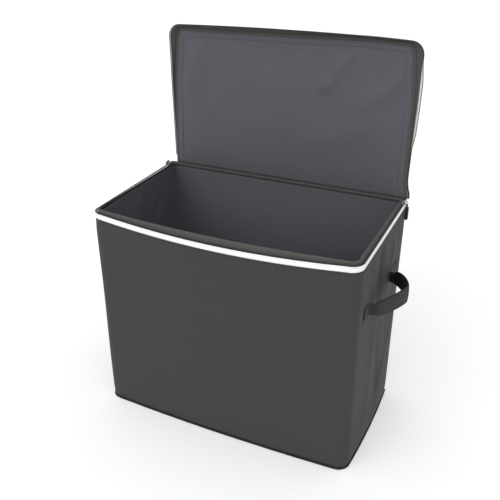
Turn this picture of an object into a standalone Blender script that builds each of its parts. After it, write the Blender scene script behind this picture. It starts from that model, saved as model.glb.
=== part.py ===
"""Soft-sided zip case for a row of graded comics, with its lid standing open.

Metres, +Z up. The origin is the centre of the base on the surface that the case
stands on, +X points to the case's right end and +Y to the hinge side. A place on
the wall is a station: a stretch of the outline and a share along it, with an
inset measured inwards from the outer fabric.
"""

import math

import bmesh
import bpy
from mathutils import Matrix, Vector

# Clearance between neighbouring pieces
gap = 0.0003

# Plan of the case at the rim, over the outer fabric, and how the base differs from it
rim_width = 0.406
rim_depth = 0.229
base_flare = 0.002
base_taper = 0.015
front_corner_radius = 0.018
rear_corner_radius = 0.008
rim_front_bow = 0.004
base_front_bow = 0.005
base_side_bow = 0.003

# Height of the zip line at the front corners, its rise to the hinge and its dip in the middle of the front
front_chain_height = 0.333
chain_rise = 0.011
front_chain_dip = 0.009

# Layers of wall and base
cover_thickness = 0.001
board_thickness = 0.002
lining_thickness = 0.001
base_board_thickness = 0.003
base_piping_radius = 0.0017
base_piping_inset = 0.0006

# Zip: tape, coil, and the slot that is left between the two closed coils
tape_thickness = 0.0008
tape_height = 0.008
coil_radius = 0.00095
zip_slot = 0.0014
end_tab_height = 0.010
end_tab_thickness = 0.001
end_tab_arc_shares = (0.05, 0.6)

# Rolled lip round the mouth
lip_thickness = 0.0032
lip_overlap = 0.004
lip_corner_rise = 0.003
lip_front_rise = 0.008
lip_lid_clearance = 0.002
lip_edge_radius = 0.0011

# Lid
lid_clearance = 0.0018
lid_board_thickness = 0.002
lid_piping_radius = 0.0012
lid_border_width = 0.010
lid_front_dip = 0.005
lid_zip_setback = 0.013
lid_lean_degrees = 1.0

# Fabric hinge: the fold lies below the zip line, behind the wall, and the lid's rear flap reaches down to it
hinge_welt_radius = 0.0022
hinge_drop = 0.008
hinge_strip_height = 0.019

# Zip slider and its pull
slider_length = 0.011
slider_plate = 0.0011
slider_play = 0.00035
slider_lip_height = 0.0009
slider_rear_margin = 0.0065
bridge_bar = 0.0008
bridge_span = 0.0064
bridge_height = 0.002
bridge_root = 0.0004
link_wire_radius = 0.00035
link_half_width = 0.0012
link_length = 0.0042
link_corner = 0.0005
tab_length = 0.024
tab_width = 0.0055
tab_thickness = 0.001
tab_eye_radius = 0.0017
tab_shoulder = 0.004
pin_clearance = 0.0003

# Strap handles, placed from the front end of the rim
handle_drop = 0.086
handle_setback = 0.1025
handle_half_span = 0.049
handle_pivot_offset = 0.007
handle_reach = 0.0332
handle_straight = 0.004
handle_tail = 0.003
handle_rise = 0.009
strap_thickness = 0.002
strap_width = 0.026
strap_neck_width = 0.016
strap_end_width = 0.011
anchor_thickness = 0.0015
anchor_flat_length = 0.019
anchor_reach_past_pivot = 0.004

# Facets
front_columns = 16
side_columns = 8
corner_columns = 5
arch_columns = 18
arch_exponent_share = 1.5
round_sides = 12

case_collection = bpy.data.collections.new("graded_comic_storage_case")
cutter_collection = bpy.data.collections.new("cutters")

# Plan of the base
base_width = rim_width + base_flare
base_depth = rim_depth - base_taper

# Insets of the layers from the outer fabric's face
board_inset = cover_thickness + gap
lining_inset = board_inset + board_thickness + gap
inner_face_inset = lining_inset + lining_thickness
tape_middle_inset = tape_thickness / 2
slider_inner_inset = tape_middle_inset + coil_radius + slider_play
lip_inset = slider_inner_inset + slider_plate + 2 * gap
base_edge_inset = base_piping_inset + base_piping_radius + gap

# Zip line at the hinge
rear_chain_height = front_chain_height + chain_rise

# Pull tab's neck, which turns between the link's legs
tab_neck_width = 2 * (link_half_width - link_wire_radius - pin_clearance)

# Heights in the base
base_piping_height = gap + base_piping_radius
base_piping_top = base_piping_height + base_piping_radius
base_board_bottom = cover_thickness + gap
base_board_top = base_board_bottom + base_board_thickness
cover_bottom = base_piping_top + gap
walls_bottom = max(base_board_top, base_piping_top) + gap

# Heights below the zip line
tape_top_drop = 2 * coil_radius + gap
tape_bottom_drop = tape_top_drop + tape_height
cover_top_drop = tape_bottom_drop + gap
board_top_drop = lip_overlap + gap

# Above this height the wall is upright, so that the slider runs true
upright_height = front_chain_height - front_chain_dip - cover_top_drop

# Lid, in its closed place
lid_underside = rear_chain_height + lid_clearance
lid_board_bottom = lid_underside + lining_thickness + gap
lid_cover_bottom = lid_board_bottom + lid_board_thickness + gap
lid_cover_top = lid_cover_bottom + cover_thickness
lid_piping_height = lid_cover_bottom + cover_thickness / 2
lid_skirt_top = lid_piping_height - lid_piping_radius - gap
lid_cover_inset = 2 * lid_piping_radius + gap
lid_skirt_inset = tape_thickness + gap
lid_board_inset = lid_skirt_inset + cover_thickness + gap
lid_lining_inset = lid_board_inset + lid_border_width + gap

# Handle pivot
handle_height = front_chain_height - handle_drop
handle_centre_y = handle_setback - rim_depth / 2

# Hinge line
hinge_y = rim_depth / 2 + gap + hinge_welt_radius
hinge_z = rear_chain_height - hinge_drop
lid_rear_y = rim_depth / 2
lid_flap_inset = -gap - cover_thickness
lid_flap_bottom = hinge_z + hinge_welt_radius


def lerp(start, end, share):
    """Blend from start to end."""
    return start + (end - start) * share


def plan_at(height):
    """Half width, half depth, front bow and side bow of the outer face at a height."""
    share = min(max(height / upright_height, 0), 1)
    return (lerp(base_width, rim_width, share) / 2, lerp(base_depth, rim_depth, share) / 2,
            lerp(base_front_bow, rim_front_bow, share), lerp(base_side_bow, 0, share))


def place(station, height, inset=0):
    """World place of a station at a height and an inset."""
    stretch, share = station
    half_width, half_depth, front_bow, side_bow = plan_at(height)
    mirrored = -1 if "left" in stretch else 1
    if stretch == "front":
        x = share * (half_width - front_corner_radius)
        y = -half_depth - front_bow * (1 - share ** 2) + inset
    elif stretch == "back":
        x = share * (half_width - rear_corner_radius)
        y = half_depth - inset
    elif stretch in ("right", "left"):
        front_y = front_corner_radius - half_depth
        rear_y = half_depth - rear_corner_radius
        x = mirrored * (half_width - inset + side_bow * (1 - share ** 2))
        y = lerp(front_y, rear_y, (share + 1) / 2)
    else:
        radius = front_corner_radius if "front" in stretch else rear_corner_radius
        forward = -1 if "front" in stretch else 1
        angle = share * math.pi / 2
        x = mirrored * (half_width - radius + (radius - inset) * math.cos(angle))
        y = forward * (half_depth - radius + (radius - inset) * math.sin(angle))
    return Vector((x, y, height))


def run(stretch, first, last, columns):
    """Stations along one stretch. A corner's share goes from the side wall, 0, to the front or back, 1."""
    return [(stretch, lerp(first, last, column / columns)) for column in range(columns + 1)]


def loop_stations():
    """Stations round the whole outline, counter-clockwise from the front left."""
    stations = run("front", -1, 1, front_columns)
    stations += run("front_right", 1, 0, corner_columns)[1:]
    stations += run("right", -1, 1, side_columns)[1:]
    stations += run("rear_right", 0, 1, corner_columns)[1:]
    stations += run("back", 1, -1, 1)[1:]
    stations += run("rear_left", 1, 0, corner_columns)[1:]
    stations += run("left", 1, -1, side_columns)[1:]
    return stations + run("front_left", 0, 1, corner_columns)[1:-1]


def mouth_stations(side_end_share):
    """Stations from the left side round the front to the right side, up to a share of each side."""
    stations = run("left", side_end_share, -1, side_columns)
    stations += run("front_left", 0, 1, corner_columns)[1:]
    stations += run("front", -1, 1, front_columns)[1:]
    stations += run("front_right", 1, 0, corner_columns)[1:]
    return stations + run("right", -1, side_end_share, side_columns)[1:]


def side_share_at(y):
    """Share along the upright part of a side wall at a depth y."""
    half_depth = rim_depth / 2
    front_y = front_corner_radius - half_depth
    rear_y = half_depth - rear_corner_radius
    return 2 * (y - front_y) / (rear_y - front_y) - 1


def trimmed(stretch):
    """Share at which a stretch ends so that half a gap stays free at each end."""
    half_width, half_depth = rim_width / 2, rim_depth / 2
    half_lengths = {"front": half_width - front_corner_radius, "back": half_width - rear_corner_radius}
    side_half_length = half_depth - (front_corner_radius + rear_corner_radius) / 2
    return 1 - gap / 2 / half_lengths.get(stretch, side_half_length)


def corner_trim(stretch):
    """Share of a corner's arc that half a gap takes."""
    radius = front_corner_radius if "front" in stretch else rear_corner_radius
    return gap / (math.pi * (radius - lining_inset))


def chain_height(station):
    """Height of the zip line at a station."""
    stretch, share = station
    if stretch == "front":
        return front_chain_height - front_chain_dip * (1 - share ** 2)
    if stretch in ("front_left", "front_right"):
        return front_chain_height
    if stretch in ("left", "right"):
        return lerp(front_chain_height, rear_chain_height, (share + 1) / 2)
    return rear_chain_height


def skirt_edge_height(station):
    """Height of the free edge of the closed lid's skirt."""
    stretch, share = station
    if stretch == "front":
        return front_chain_height + zip_slot - lid_front_dip * (1 - share ** 2)
    return chain_height(station) + zip_slot


def lip_top(station):
    """Height of the rolled lip's top edge."""
    stretch, share = station
    rear_rise = lid_clearance - lip_lid_clearance
    if stretch == "front":
        rise = lerp(lip_front_rise, lip_corner_rise, share ** 2)
    elif stretch in ("front_left", "front_right"):
        rise = lip_corner_rise
    elif stretch in ("left", "right"):
        rise = lerp(lip_corner_rise, rear_rise, (share + 1) / 2)
    else:
        rise = rear_rise
    return chain_height(station) + rise


def make_material(name, colour, roughness, metallic=0):
    """Principled material for one sub-part."""
    material = bpy.data.materials.new(name)
    material.use_nodes = True
    shader = material.node_tree.nodes["Principled BSDF"]
    shader.inputs["Base Color"].default_value = (*colour, 1)
    shader.inputs["Roughness"].default_value = roughness
    shader.inputs["Metallic"].default_value = metallic
    return material


fabric = {"colour": (0.064, 0.062, 0.060), "roughness": 0.75}
lining_fabric = {"colour": (0.105, 0.105, 0.115), "roughness": 0.8}
lip_fabric = {"colour": (0.102, 0.102, 0.098), "roughness": 0.8}
piping_fabric = {"colour": (0.018, 0.018, 0.017), "roughness": 0.7}
tape_fabric = {"colour": (0.92, 0.92, 0.90), "roughness": 0.85}
coil_plastic = {"colour": (0.030, 0.030, 0.032), "roughness": 0.5}
board_plastic = {"colour": (0.35, 0.35, 0.34), "roughness": 0.6}
slider_metal = {"colour": (0.62, 0.62, 0.62), "roughness": 0.3, "metallic": 1}
pull_rubber = {"colour": (0.020, 0.020, 0.021), "roughness": 0.6}
webbing = {"colour": (0.045, 0.045, 0.044), "roughness": 0.8}


def add_object(name, data, finish, collection=case_collection):
    """Link a mesh or curve under its name and give it its own material."""
    made = bpy.data.objects.new(name, data)
    collection.objects.link(made)
    if finish:
        data.materials.append(make_material(name, **finish))
    return made


def add_mesh(name, shape, finish, collection=case_collection):
    """Turn a bmesh into an object."""
    mesh = bpy.data.meshes.new(name)
    shape.to_mesh(mesh)
    shape.free()
    return add_object(name, mesh, finish, collection)


def thicken(made, thickness, offset=-1):
    """Give an open surface its thickness, behind its faces by default."""
    solid = made.modifiers.new("thickness", "SOLIDIFY")
    solid.thickness = thickness
    solid.offset = offset
    solid.use_even_offset = True
    return made


def round_edges(made, radius, segments=2):
    """Round the sharp edges of a piece."""
    bevel = made.modifiers.new("round", "BEVEL")
    bevel.width = radius
    bevel.segments = segments
    bevel.limit_method = "ANGLE"
    bevel.angle_limit = math.radians(50)
    return made


def grid_surface(shape, columns, closed=False):
    """Add a quad surface through columns of points, each column running upwards."""
    made = [[shape.verts.new(point) for point in column] for column in columns]
    pairs = list(zip(made, made[1:] + made[:1])) if closed else list(zip(made, made[1:]))
    for here, there in pairs:
        for row in range(len(here) - 1):
            shape.faces.new((here[row], there[row], there[row + 1], here[row + 1]))


def wall_sheet(name, stations, heights, inset, thickness, finish, closed=False):
    """A sheet that follows the wall: heights gives the rows of heights at a station."""
    shape = bmesh.new()
    columns = [[place(station, height, inset) for height in heights(station)] for station in stations]
    grid_surface(shape, columns, closed)
    return thicken(add_mesh(name, shape, finish), thickness)


def wall_heights(bottom, top_drop):
    """Rows from a bottom height, past the start of the upright part, to a drop below the zip line."""
    return lambda station: (bottom, upright_height, chain_height(station) - top_drop)


def plate(name, outline, top, thickness, finish):
    """A flat plate with its upper face at a height, from a counter-clockwise outline of x and y."""
    shape = bmesh.new()
    shape.faces.new([shape.verts.new((point[0], point[1], top)) for point in outline])
    return thicken(add_mesh(name, shape, finish), thickness)


def bead(name, paths, radius, finish, closed=False, resolution=1):
    """Round cords along lists of points."""
    curve = bpy.data.curves.new(name, "CURVE")
    curve.dimensions = "3D"
    curve.bevel_depth = radius
    curve.bevel_resolution = resolution
    curve.use_fill_caps = not closed
    for points in paths:
        spline = curve.splines.new("POLY")
        spline.points.add(len(points) - 1)
        for target, point in zip(spline.points, points):
            target.co = (*point, 1)
        spline.use_cyclic_u = closed
    return add_object(name, curve, finish)


def extrude_profile(points, direction, middle=True):
    """Closed prism: a flat profile pushed along a direction, half each way when middle is set."""
    shape = bmesh.new()
    shift = direction / 2 if middle else Vector()
    face = shape.faces.new([shape.verts.new(point - shift) for point in points])
    pushed = bmesh.ops.extrude_face_region(shape, geom=[face])
    moved = [item for item in pushed["geom"] if isinstance(item, bmesh.types.BMVert)]
    bmesh.ops.translate(shape, vec=direction, verts=moved)
    bmesh.ops.recalc_face_normals(shape, faces=shape.faces)
    return shape


def build_base():
    """Resting cover, stiffener board, floor lining and the piping round the bottom edge."""
    stations = loop_stations()
    edge = [place(station, cover_thickness, base_edge_inset) for station in stations]
    plate("base_cover", edge, cover_thickness, cover_thickness, fabric)
    plate("base_board", edge, base_board_top, base_board_thickness, board_plastic)
    floor_edge = [place(station, walls_bottom, inner_face_inset + gap) for station in stations]
    plate("floor_lining", floor_edge, walls_bottom + lining_thickness, lining_thickness, lining_fabric)
    ring = [place(station, base_piping_height, base_piping_inset) for station in stations]
    bead("base_piping", [ring], base_piping_radius, piping_fabric, closed=True, resolution=2)


def build_outer_fabric():
    """Four outer panels and the four corner turns between them."""
    front_end, back_end, side_end = trimmed("front"), trimmed("back"), trimmed("right")
    under_tape = wall_heights(cover_bottom, cover_top_drop)
    wall_sheet("front_panel", run("front", -front_end, front_end, front_columns), under_tape, 0,
               cover_thickness, fabric)
    wall_sheet("right_panel", run("right", -side_end, side_end, side_columns), under_tape, 0,
               cover_thickness, fabric)
    wall_sheet("left_panel", run("left", side_end, -side_end, side_columns), under_tape, 0,
               cover_thickness, fabric)
    back_top = rear_chain_height - hinge_strip_height - gap
    wall_sheet("back_panel", run("back", back_end, -back_end, 1),
               lambda station: (cover_bottom, upright_height, back_top), 0, cover_thickness, fabric)
    for corner in ("front_right", "front_left", "rear_right", "rear_left"):
        trim = corner_trim(corner)
        first, last = (1 - trim, trim) if corner in ("front_right", "rear_left") else (trim, 1 - trim)
        drop = cover_top_drop if "front" in corner else 0
        wall_sheet(corner + "_corner", run(corner, first, last, corner_columns),
                   wall_heights(cover_bottom, drop), 0, cover_thickness, fabric)


def build_boards_and_lining():
    """Stiffener boards on the flat stretches, and the lining sleeve inside them."""
    heights = wall_heights(walls_bottom, board_top_drop)
    for stretch, columns in (("front", front_columns), ("right", side_columns), ("back", 1), ("left", side_columns)):
        end = trimmed(stretch)
        first, last = (-end, end) if stretch in ("front", "right") else (end, -end)
        wall_sheet(stretch + "_board", run(stretch, first, last, columns), heights, board_inset,
                   board_thickness, board_plastic)
    wall_sheet("inner_lining", loop_stations(), heights, lining_inset, lining_thickness, lining_fabric,
               closed=True)


def build_rim():
    """Rolled lip, zip tape and coil on the rim, and the tabs that close off the zip."""
    lip = wall_sheet("rim_lip", loop_stations(),
                     lambda station: (chain_height(station) - lip_overlap, lip_top(station)),
                     lip_inset, lip_thickness, lip_fabric, closed=True)
    round_edges(lip, lip_edge_radius)
    stations = mouth_stations(trimmed("right"))
    wall_sheet("rim_zip_tape", stations,
               lambda station: (chain_height(station) - tape_bottom_drop, chain_height(station) - tape_top_drop),
               0, tape_thickness, tape_fabric)
    line = [place(station, chain_height(station) - coil_radius, tape_middle_inset) for station in stations]
    bead("rim_zip_coil", [line], coil_radius, coil_plastic)
    first, last = end_tab_arc_shares
    tab_inset = -gap - end_tab_thickness
    for side_name, stations in (("right", run("rear_right", first, last, corner_columns)),
                                ("left", run("rear_left", last, first, corner_columns))):
        wall_sheet(side_name + "_zip_end_tab", stations,
                   lambda station: (rear_chain_height - end_tab_height, rear_chain_height),
                   tab_inset, end_tab_thickness, fabric)


def build_hinge():
    """Fabric strip along the top of the back wall and the rolled welt on it that the lid turns on."""
    end = trimmed("back")
    wall_sheet("hinge_strip", run("back", end, -end, 1),
               lambda station: (rear_chain_height - hinge_strip_height, rear_chain_height), 0,
               cover_thickness, fabric)
    shape = bmesh.new()
    length = rim_width - 2 * rear_corner_radius
    bmesh.ops.create_cone(shape, cap_ends=True, segments=round_sides, radius1=hinge_welt_radius,
                          radius2=hinge_welt_radius, depth=length, matrix=Matrix.Rotation(math.pi / 2, 4, "Y"))
    welt = add_mesh("hinge_welt", shape, fabric)
    welt.location = (0, hinge_y, hinge_z)


def lid_outline(inset, height):
    """Lid outline at an inset: the mouth's stations, closed by a straight rear edge."""
    points = [place(station, height, inset) for station in mouth_stations(side_share_at(lid_rear_y))]
    return points


def build_lid():
    """Lid layers, border, piping, skirt, rear flap and zip half, built closed and then turned open."""
    hinge = bpy.data.objects.new("lid_hinge", None)
    case_collection.objects.link(hinge)
    hinge.location = (0, hinge_y, hinge_z)
    hinge.rotation_euler = (-math.pi / 2 - math.radians(lid_lean_degrees), 0, 0)

    board_edge = lid_outline(lid_board_inset, lid_underside)
    lining_edge = lid_outline(lid_lining_inset, lid_underside)
    border_edge = board_edge + lid_outline(lid_lining_inset - gap, lid_underside)[::-1]
    zip_end = side_share_at(rim_depth / 2 - lid_zip_setback)
    stations = mouth_stations(zip_end)
    coil_line = [place(station, skirt_edge_height(station) + coil_radius, tape_middle_inset)
                 for station in stations]
    piping_line = [place(station, lid_piping_height, lid_piping_radius)
                   for station in mouth_stations(side_share_at(lid_rear_y))]
    flap_end = trimmed("back")
    pieces = [
        plate("lid_lining", lining_edge, lid_underside + lining_thickness, lining_thickness, lining_fabric),
        plate("lid_border", border_edge, lid_underside + lining_thickness, lining_thickness, piping_fabric),
        plate("lid_board", board_edge, lid_board_bottom + lid_board_thickness, lid_board_thickness,
              board_plastic),
        plate("lid_cover", lid_outline(lid_cover_inset, lid_cover_top), lid_cover_top, cover_thickness, fabric),
        bead("lid_piping", [piping_line], lid_piping_radius, piping_fabric),
        wall_sheet("lid_skirt", stations,
                   lambda station: (skirt_edge_height(station) + tape_top_drop, lid_skirt_top),
                   lid_skirt_inset, cover_thickness, piping_fabric),
        wall_sheet("lid_zip_tape", stations,
                   lambda station: (skirt_edge_height(station) + tape_top_drop,
                                    min(skirt_edge_height(station) + tape_bottom_drop, lid_skirt_top)),
                   0, tape_thickness, tape_fabric),
        bead("lid_zip_coil", [coil_line], coil_radius, coil_plastic),
        wall_sheet("lid_flap", run("back", flap_end, -flap_end, 1),
                   lambda station: (lid_flap_bottom, lid_cover_top), lid_flap_inset, cover_thickness, fabric),
    ]
    to_hinge = Matrix.Translation(-hinge.location)
    for piece in pieces:
        piece.parent = hinge
        piece.matrix_parent_inverse = to_hinge


def build_slider(side_name, side):
    """Zip slider on one side of the rim, with its bridge, pull link and pull tab."""
    front_y = front_corner_radius - rim_depth / 2
    rear_y = rim_depth / 2 - rear_corner_radius
    incline = math.atan2(chain_rise, rear_y - front_y)
    slider_y = rear_y - slider_rear_margin
    slider_z = lerp(front_chain_height, rear_chain_height, (slider_y - front_y) / (rear_y - front_y))

    plate_in = coil_radius + slider_play - tape_middle_inset
    plate_out = plate_in + slider_plate
    inner_plate_out = -slider_inner_inset
    inner_plate_in = inner_plate_out - slider_plate
    low = -2 * coil_radius - slider_play - slider_lip_height
    lip_edge = low + slider_lip_height
    high = zip_slot - low
    web_top = zip_slot - gap
    outer_lip = gap
    inner_lip = -tape_thickness - gap
    profile = ((plate_out, low), (plate_out, high), (plate_in, high), (plate_in, web_top),
               (inner_plate_in, web_top), (inner_plate_in, low), (inner_lip, low), (inner_lip, lip_edge),
               (inner_plate_out, lip_edge), (inner_plate_out, slider_play), (plate_in, slider_play),
               (plate_in, lip_edge), (outer_lip, lip_edge), (outer_lip, low))
    points = [Vector((side * out, 0, up)) for out, up in profile]
    slider = add_mesh(side_name + "_slider", extrude_profile(points, Vector((0, slider_length, 0))), slider_metal)

    bar_out = plate_out + bridge_height
    bridge_up = zip_slot / 2
    outer_half = bridge_span / 2
    inner_half = outer_half - bridge_bar
    staple = ((-outer_half, plate_out - bridge_root), (-outer_half, bar_out + bridge_bar / 2),
              (outer_half, bar_out + bridge_bar / 2), (outer_half, plate_out - bridge_root),
              (inner_half, plate_out - bridge_root), (inner_half, bar_out - bridge_bar / 2),
              (-inner_half, bar_out - bridge_bar / 2), (-inner_half, plate_out - bridge_root))
    points = [Vector((side * out, along, bridge_up)) for along, out in staple]
    bridge = add_mesh(side_name + "_bridge", extrude_profile(points, Vector((0, 0, bridge_bar))), None,
                      cutter_collection)
    bridge.parent = slider
    join = slider.modifiers.new("bridge", "BOOLEAN")
    join.operation = "UNION"
    join.object = bridge
    slider.location = (side * rim_width / 2, slider_y, slider_z)
    slider.rotation_euler = (incline, 0, 0)

    half, cut = link_half_width, link_corner
    bottom = -link_length
    loop = ((-half, half - cut), (-half, bottom + cut), (cut - half, bottom), (half - cut, bottom),
            (half, bottom + cut), (half, half - cut), (half - cut, half), (cut - half, half))
    link = bead(side_name + "_pull_link", [[Vector((out, 0, up)) for out, up in loop]], link_wire_radius,
                slider_metal, closed=True)
    bar_centre = Matrix.Rotation(incline, 3, "X") @ Vector((side * bar_out, 0, bridge_up))
    link.location = slider.location + bar_centre

    tab = add_mesh(side_name + "_pull_tab", tab_neck_shape(), pull_rubber)
    tab.location = link.location - Vector((0, 0, link_length))
    tongue = add_mesh(side_name + "_tab_tongue", tab_tongue_shape(), None, cutter_collection)
    tongue.location = tab.location
    join_tongue = tab.modifiers.new("tongue", "BOOLEAN")
    join_tongue.operation = "UNION"
    join_tongue.object = tongue
    eye_cutter = bmesh.new()
    bmesh.ops.create_cone(eye_cutter, cap_ends=True, segments=round_sides,
                          radius1=link_wire_radius + pin_clearance, radius2=link_wire_radius + pin_clearance,
                          depth=2 * tab_thickness, matrix=Matrix.Rotation(math.pi / 2, 4, "Y"))
    eye = add_mesh(side_name + "_tab_eye", eye_cutter, None, cutter_collection)
    eye.location = tab.location
    cut_eye = tab.modifiers.new("eye", "BOOLEAN")
    cut_eye.operation = "DIFFERENCE"
    cut_eye.object = eye


def tab_neck_shape():
    """Neck of the pull tab: round over the link's wire and tapering down to the tongue."""
    half_thickness = tab_thickness / 2
    outline = [(tab_eye_radius * math.cos(math.pi * step / round_sides),
                tab_eye_radius * math.sin(math.pi * step / round_sides)) for step in range(round_sides + 1)]
    outline += [(-half_thickness, -tab_shoulder), (half_thickness, -tab_shoulder)]
    points = [Vector((0, along, up)) for along, up in outline]
    return extrude_profile(points, Vector((tab_neck_width, 0, 0)))


def tab_tongue_shape():
    """Tongue of the pull tab: flat towards the front, with sloping shoulders and a round lower end."""
    half_width, half_neck = tab_width / 2, tab_neck_width / 2
    low = half_width - tab_length
    outline = [(half_width, -tab_shoulder), (half_neck, -tab_eye_radius), (-half_neck, -tab_eye_radius),
               (-half_width, -tab_shoulder)]
    outline += [(half_width * math.cos(math.pi * (1 + step / round_sides)),
                 low + half_width * math.sin(math.pi * (1 + step / round_sides)))
                for step in range(round_sides + 1)]
    points = [Vector((out, 0, up)) for out, up in outline]
    return extrude_profile(points, Vector((0, tab_thickness, 0)))


def strap_half_width(out_share):
    """Half width of the strap from its sewn end, 0, to the middle of the loop, 1."""
    neck_share = handle_straight / handle_reach
    if out_share < neck_share:
        return lerp(strap_end_width, strap_neck_width, max(out_share, 0) / neck_share) / 2
    return lerp(strap_neck_width, strap_width, (out_share - neck_share) / (1 - neck_share)) / 2


def build_handle(side_name, side):
    """Strap handle on one side: two sewn ends that stand off the wall, and the loop between them."""
    wall_x = place(("right", side_share_at(handle_centre_y)), handle_height).x
    pivot = Vector((side * (wall_x + handle_pivot_offset), handle_centre_y, handle_height))
    path = [(-handle_tail, -handle_half_span), (0, -handle_half_span)]
    for step in range(arch_columns + 1):
        angle = math.pi * step / arch_columns
        along = -math.copysign(abs(math.cos(angle)) ** arch_exponent_share, math.cos(angle))
        out = math.sin(angle) ** arch_exponent_share if 0 < step < arch_columns else 0
        path.append((handle_straight + (handle_reach - handle_straight) * out, handle_half_span * along))
    path += [(0, handle_half_span), (-handle_tail, handle_half_span)]
    columns = []
    for out, along in path:
        out_share = out / handle_reach
        half_width = strap_half_width(out_share)
        middle = handle_rise * max(out_share, 0)
        columns.append([Vector((side * out, along, middle + row * half_width)) for row in (-1, 0, 1)])
    shape = bmesh.new()
    grid_surface(shape, columns)
    grip = thicken(add_mesh(side_name + "_handle_grip", shape, webbing), strap_thickness, offset=0)
    grip.location = pivot

    ply = handle_half_span + strap_thickness / 2 + gap + anchor_thickness / 2
    for end_name, end in (("front", -1), ("rear", 1)):
        columns = []
        tip_out = handle_pivot_offset + anchor_reach_past_pivot
        for along, out in ((ply + anchor_flat_length, 0), (ply + anchor_thickness, 0), (ply, anchor_thickness),
                           (ply, tip_out)):
            half_width = (strap_neck_width if out < tip_out else strap_end_width) / 2
            y = handle_centre_y + end * along
            column = []
            for row in (-1, 1):
                z = handle_height + row * half_width
                wall = place(("right", side_share_at(y)), handle_height - strap_neck_width / 2).x
                column.append(Vector((side * (wall + gap + anchor_thickness / 2 + out), y, z)))
            columns.append(column)
        shape = bmesh.new()
        grid_surface(shape, columns)
        anchor_name = side_name + "_handle_" + end_name + "_anchor"
        thicken(add_mesh(anchor_name, shape, webbing), anchor_thickness, offset=0)


def hide_cutters():
    """Keep the construction shapes out of renders."""
    for cutter in cutter_collection.objects:
        cutter.hide_render = True
        cutter.display_type = "WIRE"


def shade():
    """Smooth shading with the folds kept sharp."""
    for made in case_collection.objects:
        if made.type == "MESH":
            made.data.shade_smooth()
            made.data.set_sharp_from_angle(angle=math.radians(35))


def build_case():
    """Clear the scene and build the case."""
    for left_over in list(bpy.data.objects):
        bpy.data.objects.remove(left_over)
    bpy.context.scene.collection.children.link(case_collection)
    bpy.context.scene.collection.children.link(cutter_collection)
    build_base()
    build_outer_fabric()
    build_boards_and_lining()
    build_rim()
    build_hinge()
    build_lid()
    for side_name, side in (("right", 1), ("left", -1)):
        build_slider(side_name, side)
        build_handle(side_name, side)
    hide_cutters()
    shade()


build_case()
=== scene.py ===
"""Soft-sided zip case for a row of graded comics: its looks, its light and its camera.

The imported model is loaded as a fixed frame, and every piece is built in that
frame: metres, +Z up, the origin at the centre of the base, +X to the case's right
end and +Y to the hinge side. Each cloth is built on the case's own plan, so its
layers stay a fixed distance apart and their folds run through all of them.
"""

import logging
import math
from bisect import bisect_left
from dataclasses import dataclass
from enum import Enum
from typing import Callable, Sequence

import bmesh
import bpy
from mathutils import Matrix, Vector, noise


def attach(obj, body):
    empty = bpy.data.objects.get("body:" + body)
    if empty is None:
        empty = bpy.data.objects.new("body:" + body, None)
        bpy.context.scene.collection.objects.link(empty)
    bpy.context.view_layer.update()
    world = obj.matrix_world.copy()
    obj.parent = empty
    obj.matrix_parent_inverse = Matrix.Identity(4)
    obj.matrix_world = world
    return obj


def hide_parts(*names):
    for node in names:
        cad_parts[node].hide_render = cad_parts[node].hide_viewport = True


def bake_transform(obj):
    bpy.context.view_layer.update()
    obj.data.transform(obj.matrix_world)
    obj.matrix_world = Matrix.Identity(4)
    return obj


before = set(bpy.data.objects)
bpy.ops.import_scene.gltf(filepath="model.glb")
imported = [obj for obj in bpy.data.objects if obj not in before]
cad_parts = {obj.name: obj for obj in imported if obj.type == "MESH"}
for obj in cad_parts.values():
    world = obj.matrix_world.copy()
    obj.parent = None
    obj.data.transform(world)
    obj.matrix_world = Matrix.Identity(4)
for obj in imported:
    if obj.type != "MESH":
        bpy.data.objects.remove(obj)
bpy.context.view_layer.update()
log = logging.getLogger("comic_case")

Column = list[Vector]
Line = list[Vector]
Section = list[tuple[float, float]]
Seam = tuple[Sequence[Vector], Sequence[Vector]]
Shape = bmesh.types.BMesh
Piece = bpy.types.Object
Tree = bpy.types.NodeTree
Node = bpy.types.Node

CLOTH_MAP = "cloth"
UP = Vector((0, 0, 1))
REARWARD = Vector((0, 1, 0))
WHITE = (1, 1, 1, 1)
SEED_STEPS = (1.0, 1.7, 0.3)
NOISE_LOW = 0.3  # most values of a noise lie between this and the next
NOISE_HIGH = 0.7
WAVE_LENGTH = 0.314  # of Blender's wave texture at a scale of 1
SHEEN_ROUGHNESS = 0.45
CLOTH_SPECULAR = 0.2
STITCH_TURNS = (0.0, math.pi / 3, 2 * math.pi / 3, math.pi, 1.5 * math.pi)
STITCH_WIDTHS = (0.35, 1.0, 1.0, 0.35)
STITCH_DIVE = 0.6  # how deep a stitch's ends lie, in radii of the thread
STITCH_RISE = 0.35  # how far its middle stands out
STITCH_SHOULDER = 0.35  # where it starts to dive, as a share from each end to the middle
CURL = 1.3  # how sharply the zip's cloth flares towards its free edge


def linear(hex_colour: str) -> tuple[float, float, float, float]:
    """Turn an sRGB hex colour into linear light.

    Args:
        hex_colour: Six hex digits, with or without a leading hash.

    Returns:
        Red, green, blue and an alpha of 1.
    """
    digits = hex_colour.lstrip("#")
    channels = [int(digits[start:start + 2], 16) / 255 for start in (0, 2, 4)]
    bent = [c / 12.92 if c <= 0.04045 else ((c + 0.055) / 1.055) ** 2.4 for c in channels]
    return bent[0], bent[1], bent[2], 1.0


def lerp(start: float, end: float, share: float) -> float:
    """Blend from start to end."""
    return start + (end - start) * share


def ease(share: float) -> float:
    """Soft step from 0 to 1, flat at both ends."""
    share = min(max(share, 0.0), 1.0)
    return share * share * (3 - 2 * share)


def spread(first: float, last: float, count: int) -> list[float]:
    """Even values from first to last, both included."""
    return [lerp(first, last, step / count) for step in range(count + 1)]


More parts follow.
